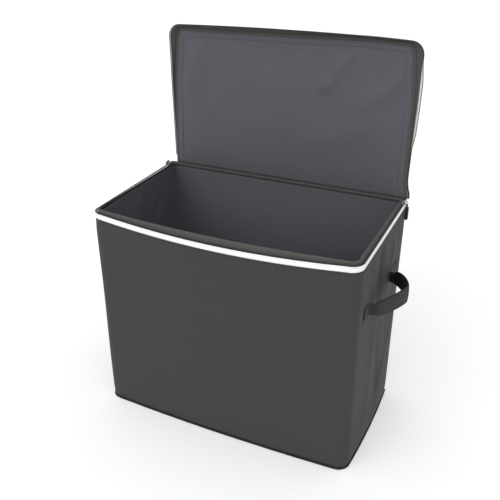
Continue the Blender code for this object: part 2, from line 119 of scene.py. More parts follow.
def rounded_wave(wave: float, power: float) -> float:
    """Flatten or sharpen a sine or a cosine by a power and keep its sign."""
    return math.copysign(abs(wave) ** power, wave)


def ripple(point: Vector, wavelength: float, seed: float = 0.0) -> float:
    """Smooth noise between about -1 and 1, the same on each run."""
    return noise.noise(point / wavelength + Vector([seed * step for step in SEED_STEPS]))


def connect(tree: Tree, node: Node, inputs: dict) -> None:
    """Set a node's values and link its inputs.

    Args:
        tree: Node tree that holds the node.
        node: The node.
        inputs: Values, or the nodes or sockets to link, by socket name or number or by
            property name; "stops" holds a colour ramp's places and colours.
    """
    for key, value in inputs.items():
        if isinstance(value, Node):
            value = value.outputs[0]
        if isinstance(value, bpy.types.NodeSocket):
            tree.links.new(value, node.inputs[key])
        elif key == "stops":
            for element, (position, colour) in zip(node.color_ramp.elements, value):
                element.position = position
                element.color = linear(colour)
        elif isinstance(key, int) or key in node.inputs:
            node.inputs[key].default_value = value
        else:
            setattr(node, key, value)


def add_node(tree: Tree, kind: str, inputs: dict | None = None) -> Node:
    """Add a shader node, set it up and link its inputs.

    Args:
        tree: Node tree that takes the node.
        kind: Blender's name for the node's type, without the leading ShaderNode.
        inputs: Its values and links, as connect takes them.

    Returns:
        The node.
    """
    node = tree.nodes.new("ShaderNode" + kind)
    connect(tree, node, inputs or {})
    return node


def seen_directly(tree: Tree) -> Node:
    """Tell what the camera, a gloss or a glass sees from light that falls on the object.

    Args:
        tree: Node tree that takes the nodes.

    Returns:
        A node that gives 1 for what is seen and 0 for light on the object.
    """
    rays = add_node(tree, "LightPath")
    seen = rays.outputs["Is Camera Ray"]
    for kind in ("Is Glossy Ray", "Is Transmission Ray"):
        seen = add_node(tree, "Math", {"operation": "MAXIMUM", 0: seen, 1: rays.outputs[kind]})
    return seen


@dataclass(frozen=True)
class Finish:
    """A surface finish that is turned into one material when it is first used."""

    name: str
    colour: str
    shade: str
    roughness: float

    def material(self) -> bpy.types.Material:
        """Give the finish's material, made once.

        Returns:
            The material.
        """
        made = bpy.data.materials.get(self.name)
        if made is None:
            made = bpy.data.materials.new(self.name)
            made.use_nodes = True
            shader = made.node_tree.nodes["Principled BSDF"]
            shader.inputs["Roughness"].default_value = self.roughness
            self.dress(made.node_tree, shader)
        return made

    def dress(self, tree: Tree, shader: Node) -> None:
        """Add the finish's pattern in front of the shader.

        Args:
            tree: The material's node tree.
            shader: Its Principled shader.
        """
        raise NotImplementedError

    def thread_turns(self, tree: Tree, pitch: float) -> tuple[Node, Node]:
        """Make waves along and across the cloth, half a wave to each thread.

        Args:
            tree: The material's node tree.
            pitch: Distance between threads.

        Returns:
            The wave along the cloth and the wave across it, from -1 to 1.
        """
        cloth = add_node(tree, "UVMap", {"uv_map": CLOTH_MAP})
        turns = add_node(tree, "VectorMath", {"operation": "SCALE", 0: cloth, "Scale": math.pi / pitch})
        parts = add_node(tree, "SeparateXYZ", {0: turns})
        along = add_node(tree, "Math", {"operation": "SINE", 0: parts.outputs["X"]})
        return along, add_node(tree, "Math", {"operation": "SINE", 0: parts.outputs["Y"]})

    def mottle(self, tree: Tree, patch: float, detail: float = 3) -> Node:
        """Give noise over the object from 0 to 1, its patches a size in metres."""
        where = add_node(tree, "TexCoord").outputs["Object"]
        return add_node(tree, "TexNoise", {"Scale": 1 / patch, "Detail": detail, "Roughness": 0.55,
                                           "Vector": where})

    def colour_from(self, tree: Tree, shader: Node, share: Node) -> None:
        """Colour the shader from the shade at 0 to the colour at 1."""
        stops = ((0.0, self.shade), (1.0, self.colour))
        connect(tree, shader, {"Base Color": add_node(tree, "ValToRGB", {"stops": stops, "Fac": share})})

    def raise_from(self, tree: Tree, shader: Node, height: Node, relief: float) -> None:
        """Bump the surface by a height between 0 and 1 that stands for a relief in metres."""
        bump = add_node(tree, "Bump", {"Strength": 1.0, "Distance": relief, "Height": height})
        connect(tree, shader, {"Normal": bump})

    def roughen_from(self, tree: Tree, shader: Node, share: Node, swing: float) -> None:
        """Swing the roughness round the finish's own by a noise."""
        rough = add_node(tree, "MapRange", {0: share, 1: NOISE_LOW, 2: NOISE_HIGH, 3: self.roughness - swing,
                                            4: self.roughness + swing})
        connect(tree, shader, {"Roughness": rough})


@dataclass(frozen=True)
class WovenPolyester(Finish):
    """Plain-woven polyester with a thin matte coating.

    The real threads are 0.45 mm apart, too fine to show, so the weave is drawn at
    thread_pitch. It gives the eye a dry, even, slightly heathered surface with a
    soft brightening at grazing angles.
    """

    thread_pitch: float = 0.0015
    thread_relief: float = 0.00012
    thread_turnover: float = 0.25
    groove_shade_share: float = 0.35
    cloud: float = 0.09
    fleck: float = 0.006
    gloss_swing: float = 0.06
    sheen: float = 0.03

    def dress(self, tree: Tree, shader: Node) -> None:
        """Weave the cloth: warp over weft in a checker, heathered, on its colour, relief and gloss; the
        colour is also darker in the grooves between the threads, which is painted shade.

        Args:
            tree: The material's node tree.
            shader: Its Principled shader.
        """
        warp, weft = self.thread_turns(tree, self.thread_pitch)
        over = add_node(tree, "Math", {"operation": "MULTIPLY", 0: warp, 1: weft})
        on_top = add_node(tree, "MapRange", {0: over, 1: -self.thread_turnover, 2: self.thread_turnover})
        warp_height = add_node(tree, "Math", {"operation": "ABSOLUTE", 0: warp})
        weft_height = add_node(tree, "Math", {"operation": "ABSOLUTE", 0: weft})
        height = add_node(tree, "Mix", {0: on_top, 2: weft_height, 3: warp_height})
        clouds = self.mottle(tree, self.cloud)
        heather = add_node(tree, "Mix", {0: 0.5, 2: clouds, 3: self.mottle(tree, self.fleck, 2)})
        # colour follows thread height: painted shade in the grooves between the threads
        self.colour_from(tree, shader, add_node(tree, "Mix", {0: self.groove_shade_share, 2: heather, 3: height}))
        self.raise_from(tree, shader, height, self.thread_relief)
        self.roughen_from(tree, shader, clouds, self.gloss_swing)
        connect(tree, shader, {"Sheen Weight": self.sheen, "Sheen Roughness": SHEEN_ROUGHNESS,
                               "Specular IOR Level": CLOTH_SPECULAR})


@dataclass(frozen=True)
class RibbedTape(Finish):
    """Woven or knitted polyester tape with ribs across it.

    Zip tape has about 18 ribs to 10 mm, too fine to show, so they are drawn at
    rib_pitch. It gives the eye a soft, matte band with a faint ladder of ribs.
    """

    rib_pitch: float = 0.0011
    rib_relief: float = 0.00010
    pick_share: float = 0.25
    cloud: float = 0.02
    rib_shade_share: float = 0.6
    sheen: float = 0.03
    # strength of a painted glow in the tape's own colour
    painted_glow: float = 0.0

    def dress(self, tree: Tree, shader: Node) -> None:
        """Rib the tape: a ladder of ribs with finer picks between, on its relief, and on its colour as
        painted shade in the grooves.

        A painted glow in the tape's own colour makes it look whiter than the light on it.

        Args:
            tree: The material's node tree.
            shader: Its Principled shader.
        """
        ribs, _ = self.thread_turns(tree, self.rib_pitch)
        _, picks = self.thread_turns(tree, 2 * self.rib_pitch)
        rib_height = add_node(tree, "Math", {"operation": "ABSOLUTE", 0: ribs})
        pick_height = add_node(tree, "Math", {"operation": "ABSOLUTE", 0: picks})
        height = add_node(tree, "Mix", {0: self.pick_share, 2: rib_height, 3: pick_height})
        # colour follows rib height: painted shade in the grooves between ribs and picks
        share = add_node(tree, "Mix", {0: self.rib_shade_share, 2: self.mottle(tree, self.cloud), 3: height})
        self.colour_from(tree, shader, share)
        self.raise_from(tree, shader, height, self.rib_relief)
        # painted glow: an emission that makes the tape look whiter than its light
        connect(tree, shader, {"Emission Color": linear(self.colour), "Emission Strength": self.painted_glow,
                               "Sheen Weight": self.sheen, "Specular IOR Level": CLOTH_SPECULAR})


@dataclass(frozen=True)
class TwistedThread(Finish):
    """Bonded polyester sewing thread, two plies twisted together.

    The plies turn about every 1 mm. It gives the eye short, slightly glossy dashes.
    """

    twist_pitch: float = 0.001
    twist_relief: float = 0.00005
    unevenness: float = 0.6

    def dress(self, tree: Tree, shader: Node) -> None:
        """Twist the thread: slanted bands on its relief, and on its colour as painted shade in the grooves
        between the plies.

        Args:
            tree: The material's node tree.
            shader: Its Principled shader.
        """
        where = add_node(tree, "TexCoord").outputs["Object"]
        plies = add_node(tree, "TexWave", {
            "wave_type": "BANDS", "bands_direction": "DIAGONAL", "Vector": where,
            "Scale": WAVE_LENGTH / self.twist_pitch, "Distortion": self.unevenness}).outputs["Fac"]
        # colour follows the plies: painted shade in the grooves between them
        self.colour_from(tree, shader, plies)
        self.raise_from(tree, shader, plies, self.twist_relief)


@dataclass(frozen=True)
class MouldedPlastic(Finish):
    """Nylon or rubber from a mould: even, slightly pebbled, with soft highlights.

    The spark-eroded grain of the mould is about 0.3 mm across. It gives the eye a
    broken, satin highlight in place of a mirror.
    """

    grain: float = 0.0004
    grain_relief: float = 0.00003
    cloud: float = 0.008
    gloss_swing: float = 0.07

    def dress(self, tree: Tree, shader: Node) -> None:
        """Pebble the surface and vary its gloss a little.

        Args:
            tree: The material's node tree.
            shader: Its Principled shader.
        """
        clouds = self.mottle(tree, self.cloud)
        self.colour_from(tree, shader, clouds)
        self.raise_from(tree, shader, self.mottle(tree, self.grain, 1), self.grain_relief)
        self.roughen_from(tree, shader, clouds, self.gloss_swing)


@dataclass(frozen=True)
class PlatedCasting(Finish):
    """Zinc alloy, die-cast and nickel-plated.

    Tumbling leaves a fine orange peel of about 0.5 mm and small scuffs. It gives the
    eye bright metal whose reflections are a little blurred.
    """

    peel: float = 0.0005
    peel_relief: float = 0.00002
    scuff: float = 0.002
    gloss_swing: float = 0.1

    def dress(self, tree: Tree, shader: Node) -> None:
        """Peel and scuff the plating.

        Args:
            tree: The material's node tree.
            shader: Its Principled shader.
        """
        scuffs = self.mottle(tree, self.scuff, 6)
        self.colour_from(tree, shader, scuffs)
        self.raise_from(tree, shader, self.mottle(tree, self.peel, 2), self.peel_relief)
        self.roughen_from(tree, shader, scuffs, self.gloss_swing)
        connect(tree, shader, {"Metallic": 1.0})


@dataclass(frozen=True)
class PressedBoard(Finish):
    """Grey board, pressed flat.

    Its flecks are 1 to 3 mm long. It gives the eye a dull grey sheet, seen only if
    the cloth is taken off.
    """

    fleck: float = 0.003
    fleck_relief: float = 0.0001

    def dress(self, tree: Tree, shader: Node) -> None:
        """Fleck the board.

        Args:
            tree: The material's node tree.
            shader: Its Principled shader.
        """
        flecks = self.mottle(tree, self.fleck, 5)
        self.colour_from(tree, shader, flecks)
        self.raise_from(tree, shader, flecks, self.fleck_relief)


@dataclass(frozen=True)
class StudioPaper(Finish):
    """White seamless background paper under even studio light.

    The camera sees it a little brighter than it lights the case, as a photographer
    lights a background apart, so that it is white and still keeps the shadow.
    """

    fibre: float = 0.004
    glow: float = 0.29

    def dress(self, tree: Tree, shader: Node) -> None:
        """Lay the paper's colour and add the glow that only the camera, gloss and glass see.

        Args:
            tree: The material's node tree.
            shader: Its Principled shader.
        """
        self.colour_from(tree, shader, self.mottle(tree, self.fibre, 2))
        connect(tree, shader, {"Specular IOR Level": 0.0})
        strength = add_node(tree, "Math", {"operation": "MULTIPLY", 0: seen_directly(tree), 1: self.glow})
        glow = add_node(tree, "Emission", {"Color": WHITE, "Strength": strength})
        both = add_node(tree, "AddShader", {0: shader, 1: glow})
        connect(tree, tree.nodes["Material Output"], {"Surface": both})


OXFORD_SHELL = WovenPolyester("oxford_cloth_coated_charcoal", "4c4a4d", "3f3d40", 0.80)
LINING_CLOTH = WovenPolyester("lining_cloth_woven_slate", "6a6a71", "5b5b62", 0.80, thread_pitch=0.0012)
LIP_CLOTH = WovenPolyester("lip_cloth_woven_grey", "61615e", "52524f", 0.80, thread_pitch=0.0012)
DARK_BINDING = RibbedTape("binding_tape_woven_black_olive", "2a2c27", "1b1d1a", 0.75, rib_pitch=0.0014)
# the white zip tape is given a painted glow
ZIP_TAPE_WHITE = RibbedTape("zip_tape_knitted_white", "ffffff", "fdfdfc", 0.85, rib_relief=0.00002,
                            rib_shade_share=0.2, sheen=0.5, painted_glow=0.12)
STRAP_WEBBING = RibbedTape("strap_webbing_woven_black", "141414", "090909", 0.8, rib_pitch=0.0018)
TRIM_CLOTH = WovenPolyester("trim_cloth_coated_charcoal", "454544", "383837", 0.78, thread_pitch=0.0013)
BLACK_THREAD = TwistedThread("sewing_thread_bonded_black", "262626", "151515", 0.55)
WHITE_THREAD = TwistedThread("sewing_thread_bonded_white", "f4f4f0", "dededa", 0.55)
# The coil is drawn near-black as painted shade: it gives the dark line of the gap between the zip tape and
# the lip.
COIL_DARKENED_AS_GAP_SHADE = MouldedPlastic("zip_coil_extruded_nylon_black", "26272a", "1a1a1c", 0.42)
PULL_RUBBER = MouldedPlastic("pull_tab_moulded_rubber_charcoal", "454545", "363636", 0.55)
PULL_RUBBER_DARK = MouldedPlastic("pull_tab_inlay_moulded_rubber_black", "151515", "0d0d0d", 0.5)
SLIDER_METAL = PlatedCasting("slider_die_cast_zinc_nickel_plated", "d2d2d0", "bcbcb9", 0.28)
STIFF_BOARD = PressedBoard("stiffener_board_pressed_grey", "a3a39f", "8f8f8b", 0.7)
BACKGROUND_PAPER = StudioPaper("studio_paper_white", "f6f6f6", "f2f2f2", 0.9)


def mesh_object(name: str, shape: Shape, finish: Finish) -> Piece:
    """Turn a bmesh into a smooth object with one finish.

    Args:
        name: Name of the piece.
        shape: The bmesh, which is freed.
        finish: Its finish.

    Returns:
        The linked object.
    """
    mesh = bpy.data.meshes.new(name)
    for face in shape.faces:
        face.smooth = True
    shape.to_mesh(mesh)
    shape.free()
    made = bpy.data.objects.new(name, mesh)
    bpy.context.scene.collection.objects.link(made)
    mesh.materials.append(finish.material())
    return made


def running_lengths(points: Sequence[Vector]) -> list[float]:
    """Measure along a line of points.

    Args:
        points: The line.

    Returns:
        The distance from its start at each point.
    """
    lengths = [0.0]
    for here, there in zip(points, points[1:]):
        lengths.append(lengths[-1] + (there - here).length)
    return lengths


def place_along(lengths: Sequence[float], distance: float) -> tuple[int, float]:
    """The point before a distance on a line, and the share of the way from there to the next."""
    index = min(bisect_left(lengths, distance, 1), len(lengths) - 1) - 1
    return index, (distance - lengths[index]) / max(lengths[index + 1] - lengths[index], 1e-9)


def skin(shape: Shape, columns: Sequence[Column], closed: bool,
         tube: bool = False) -> list[list[bmesh.types.BMVert]]:
    """Lay quads through columns of points, mapped by their real lengths.

    Args:
        shape: Bmesh to add to.
        columns: Columns of points, each with the same number of rows.
        closed: Whether the last column joins the first.
        tube: Whether each column is a loop that ends on its first point.

    Returns:
        The vertices of each column.
    """
    layer = shape.loops.layers.uv.get(CLOTH_MAP) or shape.loops.layers.uv.new(CLOTH_MAP)
    ring = [*columns, columns[0]] if closed else list(columns)
    along = running_lengths([column[0 if tube else len(column) // 2] for column in ring])
    across = [running_lengths(columns[0] if tube else column) for column in ring]
    made = [[shape.verts.new(point) for point in (column[:-1] if tube else column)] for column in columns]
    made = [*made, made[0]] if closed else made
    count = len(made[0])
    for left in range(len(ring) - 1):
        for row in range(len(ring[0]) - 1):
            corners = ((left, row), (left + 1, row), (left + 1, row + 1), (left, row + 1))
            face = shape.faces.new([made[column][level % count] for column, level in corners])
            for loop, (column, level) in zip(face.loops, corners):
                loop[layer].uv = (along[column], across[column][level])
    return made


def grid_shape(columns: Sequence[Column], closed: bool = False) -> Shape:
    """Build an open surface through columns of points.

    Args:
        columns: Columns of points, each with the same number of rows.
        closed: Whether the last column joins the first.

    Returns:
        The bmesh.
    """
    shape = bmesh.new()
    skin(shape, columns, closed)
    return shape


def ring_sides(radius: float, count: int, squeeze: float = 1.0) -> Section:
    """Points of a round or squeezed section, as out and up."""
    turns = [math.tau * step / count for step in range(count)]
    return [(radius * math.cos(turn), radius * squeeze * math.sin(turn)) for turn in turns]


def swept_shape(path: Sequence[Vector], sections: Sequence[Section], closed: bool = False,
                upright: Vector | None = None, shape: Shape | None = None) -> Shape:
    """Sweep a closed section along a path and cap its ends.

    Args:
        path: Points of the path.
        sections: One section, or one for each point, as points out and up from the path.
        closed: Whether the path closes on itself.
        upright: Direction that the section's up keeps to, or None to turn as little as it can.
        shape: A bmesh to add to, or None for a new one.

    Returns:
        The bmesh.
    """
    shape = shape or bmesh.new()
    count = len(path)
    tangents = []
    for index in range(count):
        before = path[index - 1] if closed or index else path[0]
        after = path[(index + 1) % count] if closed or index < count - 1 else path[-1]
        tangents.append((after - before).normalized())
    up = upright or (UP if abs(tangents[0].z) < 0.9 else REARWARD)
    columns = []
    for index, (point, tangent) in enumerate(zip(path, tangents)):
        out = tangent.cross(upright or up).normalized()
        up = out.cross(tangent).normalized()
        section = sections[index] if len(sections) > 1 else sections[0]
        column = [point + out * side + up * rise for side, rise in section]
        columns.append(column + column[:1])
    made = skin(shape, columns, closed, tube=True)
    if not closed:
        shape.faces.new(made[0])
        shape.faces.new(made[-1][::-1])
    bmesh.ops.recalc_face_normals(shape, faces=shape.faces)
    return shape


def stacked(shape: Shape, layers: Sequence[Line], capped: bool = True) -> None:
    """Join loops of points, each to the next, into a solid.

    Args:
        shape: Bmesh to add to.
        layers: Loops with the same number of points.
        capped: Whether the first and the last loop are closed off; if not, the last joins the first.
    """
    loops = [[shape.verts.new(point) for point in layer] for layer in layers]
    if not capped:
        loops.append(loops[0])
    count = len(layers[0])
    for here, there in zip(loops, loops[1:]):
        for index in range(count):
            after = (index + 1) % count
            shape.faces.new((here[index], here[after], there[after], there[index]))
    if capped:
        shape.faces.new(loops[0][::-1])
        shape.faces.new(loops[-1])


def welded(piece: Piece) -> Piece:
    """Weld the seam of a closed section and turn its faces outwards.

    Args:
        piece: The piece.

    Returns:
        The piece.
    """
    shape = bmesh.new()
    shape.from_mesh(piece.data)
    bmesh.ops.remove_doubles(shape, verts=shape.verts, dist=1e-6)
    bmesh.ops.recalc_face_normals(shape, faces=shape.faces)
    shape.to_mesh(piece.data)
    shape.free()
    return piece


def thicken(piece: Piece, thickness: float, offset: float = -1.0, back: Finish | None = None) -> Piece:
    """Give an open surface its thickness, behind its faces by default.

    Args:
        piece: The open surface.
        thickness: Its thickness.
        offset: -1 to grow behind its faces, 0 to grow to both sides.
        back: Finish of its back and its edges, or None for the same as its front.

    Returns:
        The piece.
    """
    solid = piece.modifiers.new("thickness", "SOLIDIFY")
    solid.thickness = thickness
    solid.offset = offset
    solid.use_even_offset = True
    solid.use_quality_normals = True
    if back is not None:
        piece.data.materials.append(back.material())
        solid.material_offset = solid.material_offset_rim = 1
    return piece


def soften(piece: Piece, radius: float) -> None:
    """Round the sharp edges of a piece.

    Args:
        piece: The piece.
        radius: Width that is taken off at each edge.
    """
    bevel = piece.modifiers.new("rounded_edges", "BEVEL")
    bevel.width = radius
    bevel.segments = 2
    bevel.limit_method = "ANGLE"
    bevel.angle_limit = math.radians(40)


def stitched(name: str, seams: Sequence[Seam], finish: Finish, stitch: float = 0.0032, pause: float = 0.0011,
             radius: float = 0.00030) -> Piece:
    """Lay rows of sewn stitches along seams on a surface.

    Args:
        name: Name of the piece.
        seams: Points along each seam and the surface's outward directions there.
        finish: Thread finish.
        stitch: Length of a stitch.
        pause: Gap between two stitches.
        radius: Thread radius, drawn thicker than the real 0.15 mm so that it shows.

    Returns:
        One object that holds all the stitches.
    """
    shape = bmesh.new()
    for points, normals in seams:
        lengths = running_lengths(points)
        count = max(1, int(lengths[-1] / (stitch + pause)))
        step = lengths[-1] / count
        for number in range(count):
            start = number * step + (step - stitch) / 2
            places = []
            for distance in (start, start + stitch / 2, start + stitch):
                index, share = place_along(lengths, distance)
                places.append((points[index].lerp(points[index + 1], share),
                               normals[index].lerp(normals[index + 1], share).normalized()))
            add_stitch(shape, places, radius)
    return mesh_object(name, shape, finish)


def add_stitch(shape: Shape, places: Sequence[tuple[Vector, Vector]], radius: float) -> None:
    """Add one stitch: a short bead of thread that dives into the cloth at both ends.

    Args:
        shape: Bmesh to add to.
        places: Its start, middle and end, each with the direction out of the cloth.
        radius: Thread radius.
    """
    (first, first_out), (middle, out), (last, last_out) = places
    side = (last - first).normalized().cross(out).normalized()
    lift = out * radius * STITCH_RISE
    path = (first - first_out * radius * STITCH_DIVE, first.lerp(middle, STITCH_SHOULDER) + lift,
            last.lerp(middle, STITCH_SHOULDER) + lift, last - last_out * radius * STITCH_DIVE)
    rings = []
    for point, width in zip(path, STITCH_WIDTHS):
        rings.append([point + (side * math.cos(turn) + out * math.sin(turn)) * radius * width
                      for turn in STITCH_TURNS])
    stacked(shape, rings)


def coil_line(path: Sequence[Vector], radius: float, pitch: float, steps: int) -> Line:
    """Wind a helix round a path.

    Args:
        path: Points of the core, along a mostly level line.
        radius: Radius of the wire's centre about the core.
        pitch: Distance between turns.
        steps: Points for each turn.

    Returns:
        Points of the wound wire.
    """
    lengths = running_lengths(path)
    count = int(lengths[-1] / pitch) * steps
    wound = []
    for number in range(count + 1):
        index, share = place_along(lengths, lengths[-1] * number / count)
        tangent = (path[index + 1] - path[index]).normalized()
        out = tangent.cross(UP).normalized()
        turn = math.tau * number / steps
        wound.append(path[index].lerp(path[index + 1], share)
                     + (out * math.cos(turn) + out.cross(tangent) * math.sin(turn)) * radius)
    return wound


def fit(piece: Piece, body: str, slot: str, *stands_for: str) -> None:
    """Seat a finished piece on its body and report it.

    Args:
        piece: The piece, in place.
        body: CAD body that it moves with.
        slot: Material slot name; not used.
        *stands_for: CAD nodes that it replaces.
    """
    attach(piece, body)
    if stands_for:
        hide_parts(*stands_for)
    log.info("%s rides on %s", piece.name, body)


def cut_cloth(name: str, columns: Sequence[Column], finish: Finish, thickness: float, body: str, slot: str,
              *stands_for: str) -> None:
    """Build a cloth through columns of points on its outer face, give it its thickness and fit it."""
    piece = thicken(mesh_object(name, grid_shape(columns), finish), thickness)
    fit(piece, body, slot, *stands_for)


class Stretch(Enum):
    """A stretch of the case's outline: a wall, or the corner between two walls."""

    FRONT = "front"
    RIGHT = "right"
    BACK = "back"
    LEFT = "left"
    FRONT_RIGHT = "front_right"
    FRONT_LEFT = "front_left"
    REAR_RIGHT = "rear_right"
    REAR_LEFT = "rear_left"

    @property
    def is_end(self) -> bool:
        """Whether it is an end wall."""
        return self in (Stretch.LEFT, Stretch.RIGHT)

    @property
    def is_front(self) -> bool:
        """Whether it is the front wall or a corner of it."""
        return self.value.startswith("front")

    @property
    def side(self) -> int:
        """1 on the case's right, -1 on its left."""
        return -1 if "left" in self.value else 1


Station = tuple[Stretch, float]


class End(Enum):
    """One of the two end walls."""

    RIGHT = 1
    LEFT = -1

    @property
    def title(self) -> str:
        """Name that its pieces start with."""
        return self.name.lower()

    @property
    def wall(self) -> Stretch:
        """Its stretch of the outline."""
        return Stretch(self.title)

    @property
    def rear_corner(self) -> Stretch:
        """The corner between it and the back."""
        return Stretch("rear_" + self.title)


@dataclass(frozen=True)
class Fold:
    """A soft ridge along a line on a cloth, or a valley where its swell is below 0."""

    top: tuple[float, float]
    foot: tuple[float, float]
    half_width: float
    swell: float
    fade_share: float = 0.3
    longest_fade: float = 0.03

    def at(self, across: float, up: float) -> float:
        """Give the swell at a place on the cloth.

        Args:
            across: Place along the cloth's level direction.
            up: Place along its other direction.

        Returns:
            The swell out of the cloth.
        """
        run_across, run_up = self.foot[0] - self.top[0], self.foot[1] - self.top[1]
        length = math.hypot(run_across, run_up)
        along = ((across - self.top[0]) * run_across + (up - self.top[1]) * run_up) / length
        off = ((across - self.top[0]) * run_up - (up - self.top[1]) * run_across) / length
        fade = min(self.fade_share * length, self.longest_fade)
        ends = ease((along + fade / 2) / fade) * ease((length + fade / 2 - along) / fade)
        return self.swell * math.exp(-(off / self.half_width) ** 2) * ends


@dataclass(frozen=True)
class CaseForm:
    """Plan, heights and layers of the case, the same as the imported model's, and the folds of its cloth."""

    gap: float = 0.0003
    rim_width: float = 0.406
    rim_depth: float = 0.229
    base_width: float = 0.408
    base_depth: float = 0.214
    front_corner_radius: float = 0.018
    rear_corner_radius: float = 0.008
    rim_front_bow: float = 0.004
    base_front_bow: float = 0.005
    base_side_bow: float = 0.003
    front_chain_height: float = 0.333
    rear_chain_height: float = 0.344
    front_chain_dip: float = 0.009
    hinge_strip_height: float = 0.019
    upright_height: float = 0.3135
    walls_bottom: float = 0.0046
    cover_bottom: float = 0.0040
    cover: float = 0.001
    board: float = 0.002
    tape: float = 0.0008
    coil_radius: float = 0.00095
    tape_top_drop: float = 0.0022
    tape_bottom_drop: float = 0.0102
    cover_top_drop: float = 0.0105
    board_top_drop: float = 0.0043
    zip_slot: float = 0.0014
    board_inset: float = 0.0013
    inner_face_inset: float = 0.0046
    taut_foot: float = 0.004
    fold_top_drop: float = 0.006
    fold_front_y: float = -0.0965
    fold_rear_y: float = 0.1065
    strap_end_ys: tuple[float, float] = (-0.070, 0.046)
    strap_end_height: float = 0.247
    strap_hold: float = 0.92
    slow_waver: float = 0.0009
    quick_waver: float = 0.0005
    right_folds: tuple[Fold, ...] = (
        Fold((-0.008, 0.330), (-0.012, 0.236), 0.010, -0.0034),
        Fold((0.056, 0.300), (0.038, 0.250), 0.009, 0.0022),
        Fold((-0.084, 0.268), (-0.086, 0.226), 0.0028, -0.0012),
        Fold((-0.048, 0.318), (-0.046, 0.262), 0.014, 0.0010),
        Fold((0.092, 0.170), (0.022, 0.052), 0.011, 0.0020),
        Fold((-0.002, 0.190), (0.020, 0.030), 0.013, -0.0020),
        Fold((-0.020, 0.200), (-0.034, 0.030), 0.010, 0.0014),
        Fold((0.070, 0.240), (0.030, 0.150), 0.014, -0.0012),
    )
    left_folds: tuple[Fold, ...] = (
        Fold((0.004, 0.330), (-0.004, 0.232), 0.012, -0.0028),
        Fold((0.060, 0.292), (0.034, 0.240), 0.010, 0.0018),
        Fold((-0.070, 0.190), (-0.010, 0.050), 0.012, 0.0018),
        Fold((0.000, 0.180), (0.006, 0.030), 0.014, -0.0018),
        Fold((0.080, 0.150), (0.040, 0.040), 0.012, 0.0014),
    )

    @property
    def end_wall_ys(self) -> tuple[float, float]:
        """Front and rear y of the upright end walls, between their corners."""
        return self.front_corner_radius - self.rim_depth / 2, self.rim_depth / 2 - self.rear_corner_radius

    def plan_at(self, height: float) -> tuple[float, float, float, float]:
        """Half width, half depth, front bow and side bow of the outer face at a height."""
        share = min(max(height / self.upright_height, 0.0), 1.0)
        return (lerp(self.base_width, self.rim_width, share) / 2,
                lerp(self.base_depth, self.rim_depth, share) / 2,
                lerp(self.base_front_bow, self.rim_front_bow, share), lerp(self.base_side_bow, 0.0, share))

    def place(self, station: Station, height: float, inset: float = 0.0) -> Vector:
        """Find a place on the case before any folds.

        Args:
            station: Station on the outline.
            height: Height above the floor.
            inset: Distance in from the outer face.

        Returns:
            The world place.
        """
        stretch, share = station
        half_width, half_depth, front_bow, side_bow = self.plan_at(height)
        if stretch is Stretch.FRONT:
            x = share * (half_width - self.front_corner_radius)
            y = -half_depth - front_bow * (1 - share ** 2) + inset
        elif stretch is Stretch.BACK:
            x = share * (half_width - self.rear_corner_radius)
            y = half_depth - inset
        elif stretch.is_end:
            x = stretch.side * (half_width - inset + side_bow * (1 - share ** 2))
            y = lerp(self.front_corner_radius - half_depth, half_depth - self.rear_corner_radius,
                     (share + 1) / 2)
        else:
            radius = self.front_corner_radius if stretch.is_front else self.rear_corner_radius
            forward = -1 if stretch.is_front else 1
            angle = share * math.pi / 2
            x = stretch.side * (half_width - radius + (radius - inset) * math.cos(angle))
            y = forward * (half_depth - radius + (radius - inset) * math.sin(angle))
        return Vector((x, y, height))

    def outward(self, station: Station, height: float) -> Vector:
        """Level direction out of the wall at a station and a height."""
        direction = self.place(station, height) - self.place(station, height, 0.001)
        return Vector((direction.x, direction.y, 0)).normalized()

    def chain_height(self, station: Station) -> float:
        """Give the height of the zip line.

        Args:
            station: Station on the outline.

        Returns:
            The height.
        """
        stretch, share = station
        if stretch is Stretch.FRONT:
            return self.front_chain_height - self.front_chain_dip * (1 - share ** 2)
        if stretch.is_front:
            return self.front_chain_height
        if stretch.is_end:
            return lerp(self.front_chain_height, self.rear_chain_height, (share + 1) / 2)
        return self.rear_chain_height

    def swell(self, station: Station, height: float) -> float:
        """Give the outward swell of every layer of the wall, the folds of its end walls.

        It dies away at the zip line, the base and the corners, and where the straps are sewn on.

        Args:
            station: Station on the outline.
            height: Height above the floor.

        Returns:
            The swell, 0 on the front and the back.
        """
        stretch, _ = station
        if not stretch.is_end:
            return 0.0
        y = self.place(station, height).y
        folds = self.right_folds if stretch is Stretch.RIGHT else self.left_folds
        amount = sum(fold.at(y, height) for fold in folds)
        amount *= ease((y - self.fold_front_y) / 0.010) * ease((self.fold_rear_y - y) / 0.012)
        rim = ease((self.chain_height(station) - self.fold_top_drop - height) / 0.028)
        foot = ease((height - self.taut_foot) / 0.03)
        sewn = max(math.exp(-((y - end) / 0.013) ** 2 - ((height - self.strap_end_height) / 0.016) ** 2)
                   for end in self.strap_end_ys)
        return amount * rim * foot * (1 - self.strap_hold * sewn)

    def waver(self, station: Station, height: float) -> float:
        """Give the extra waver of the outer cloth alone, which never goes in to the board.

        Args:
            station: Station on the outline.
            height: Height above the floor.

        Returns:
            The outward waver.
        """
        flat = self.place(station, height)
        rim = ease((self.chain_height(station) - self.cover_top_drop - height) / 0.02)
        foot = ease((height - self.taut_foot) / 0.02)
        slow = 0.5 + 0.5 * ripple(flat, 0.13, 4.0)
        quick = max(0.0, ripple(Vector((flat.x, flat.y, height * 0.35)), 0.028, 9.0))
        return (self.slow_waver * slow + self.quick_waver * quick) * rim * foot

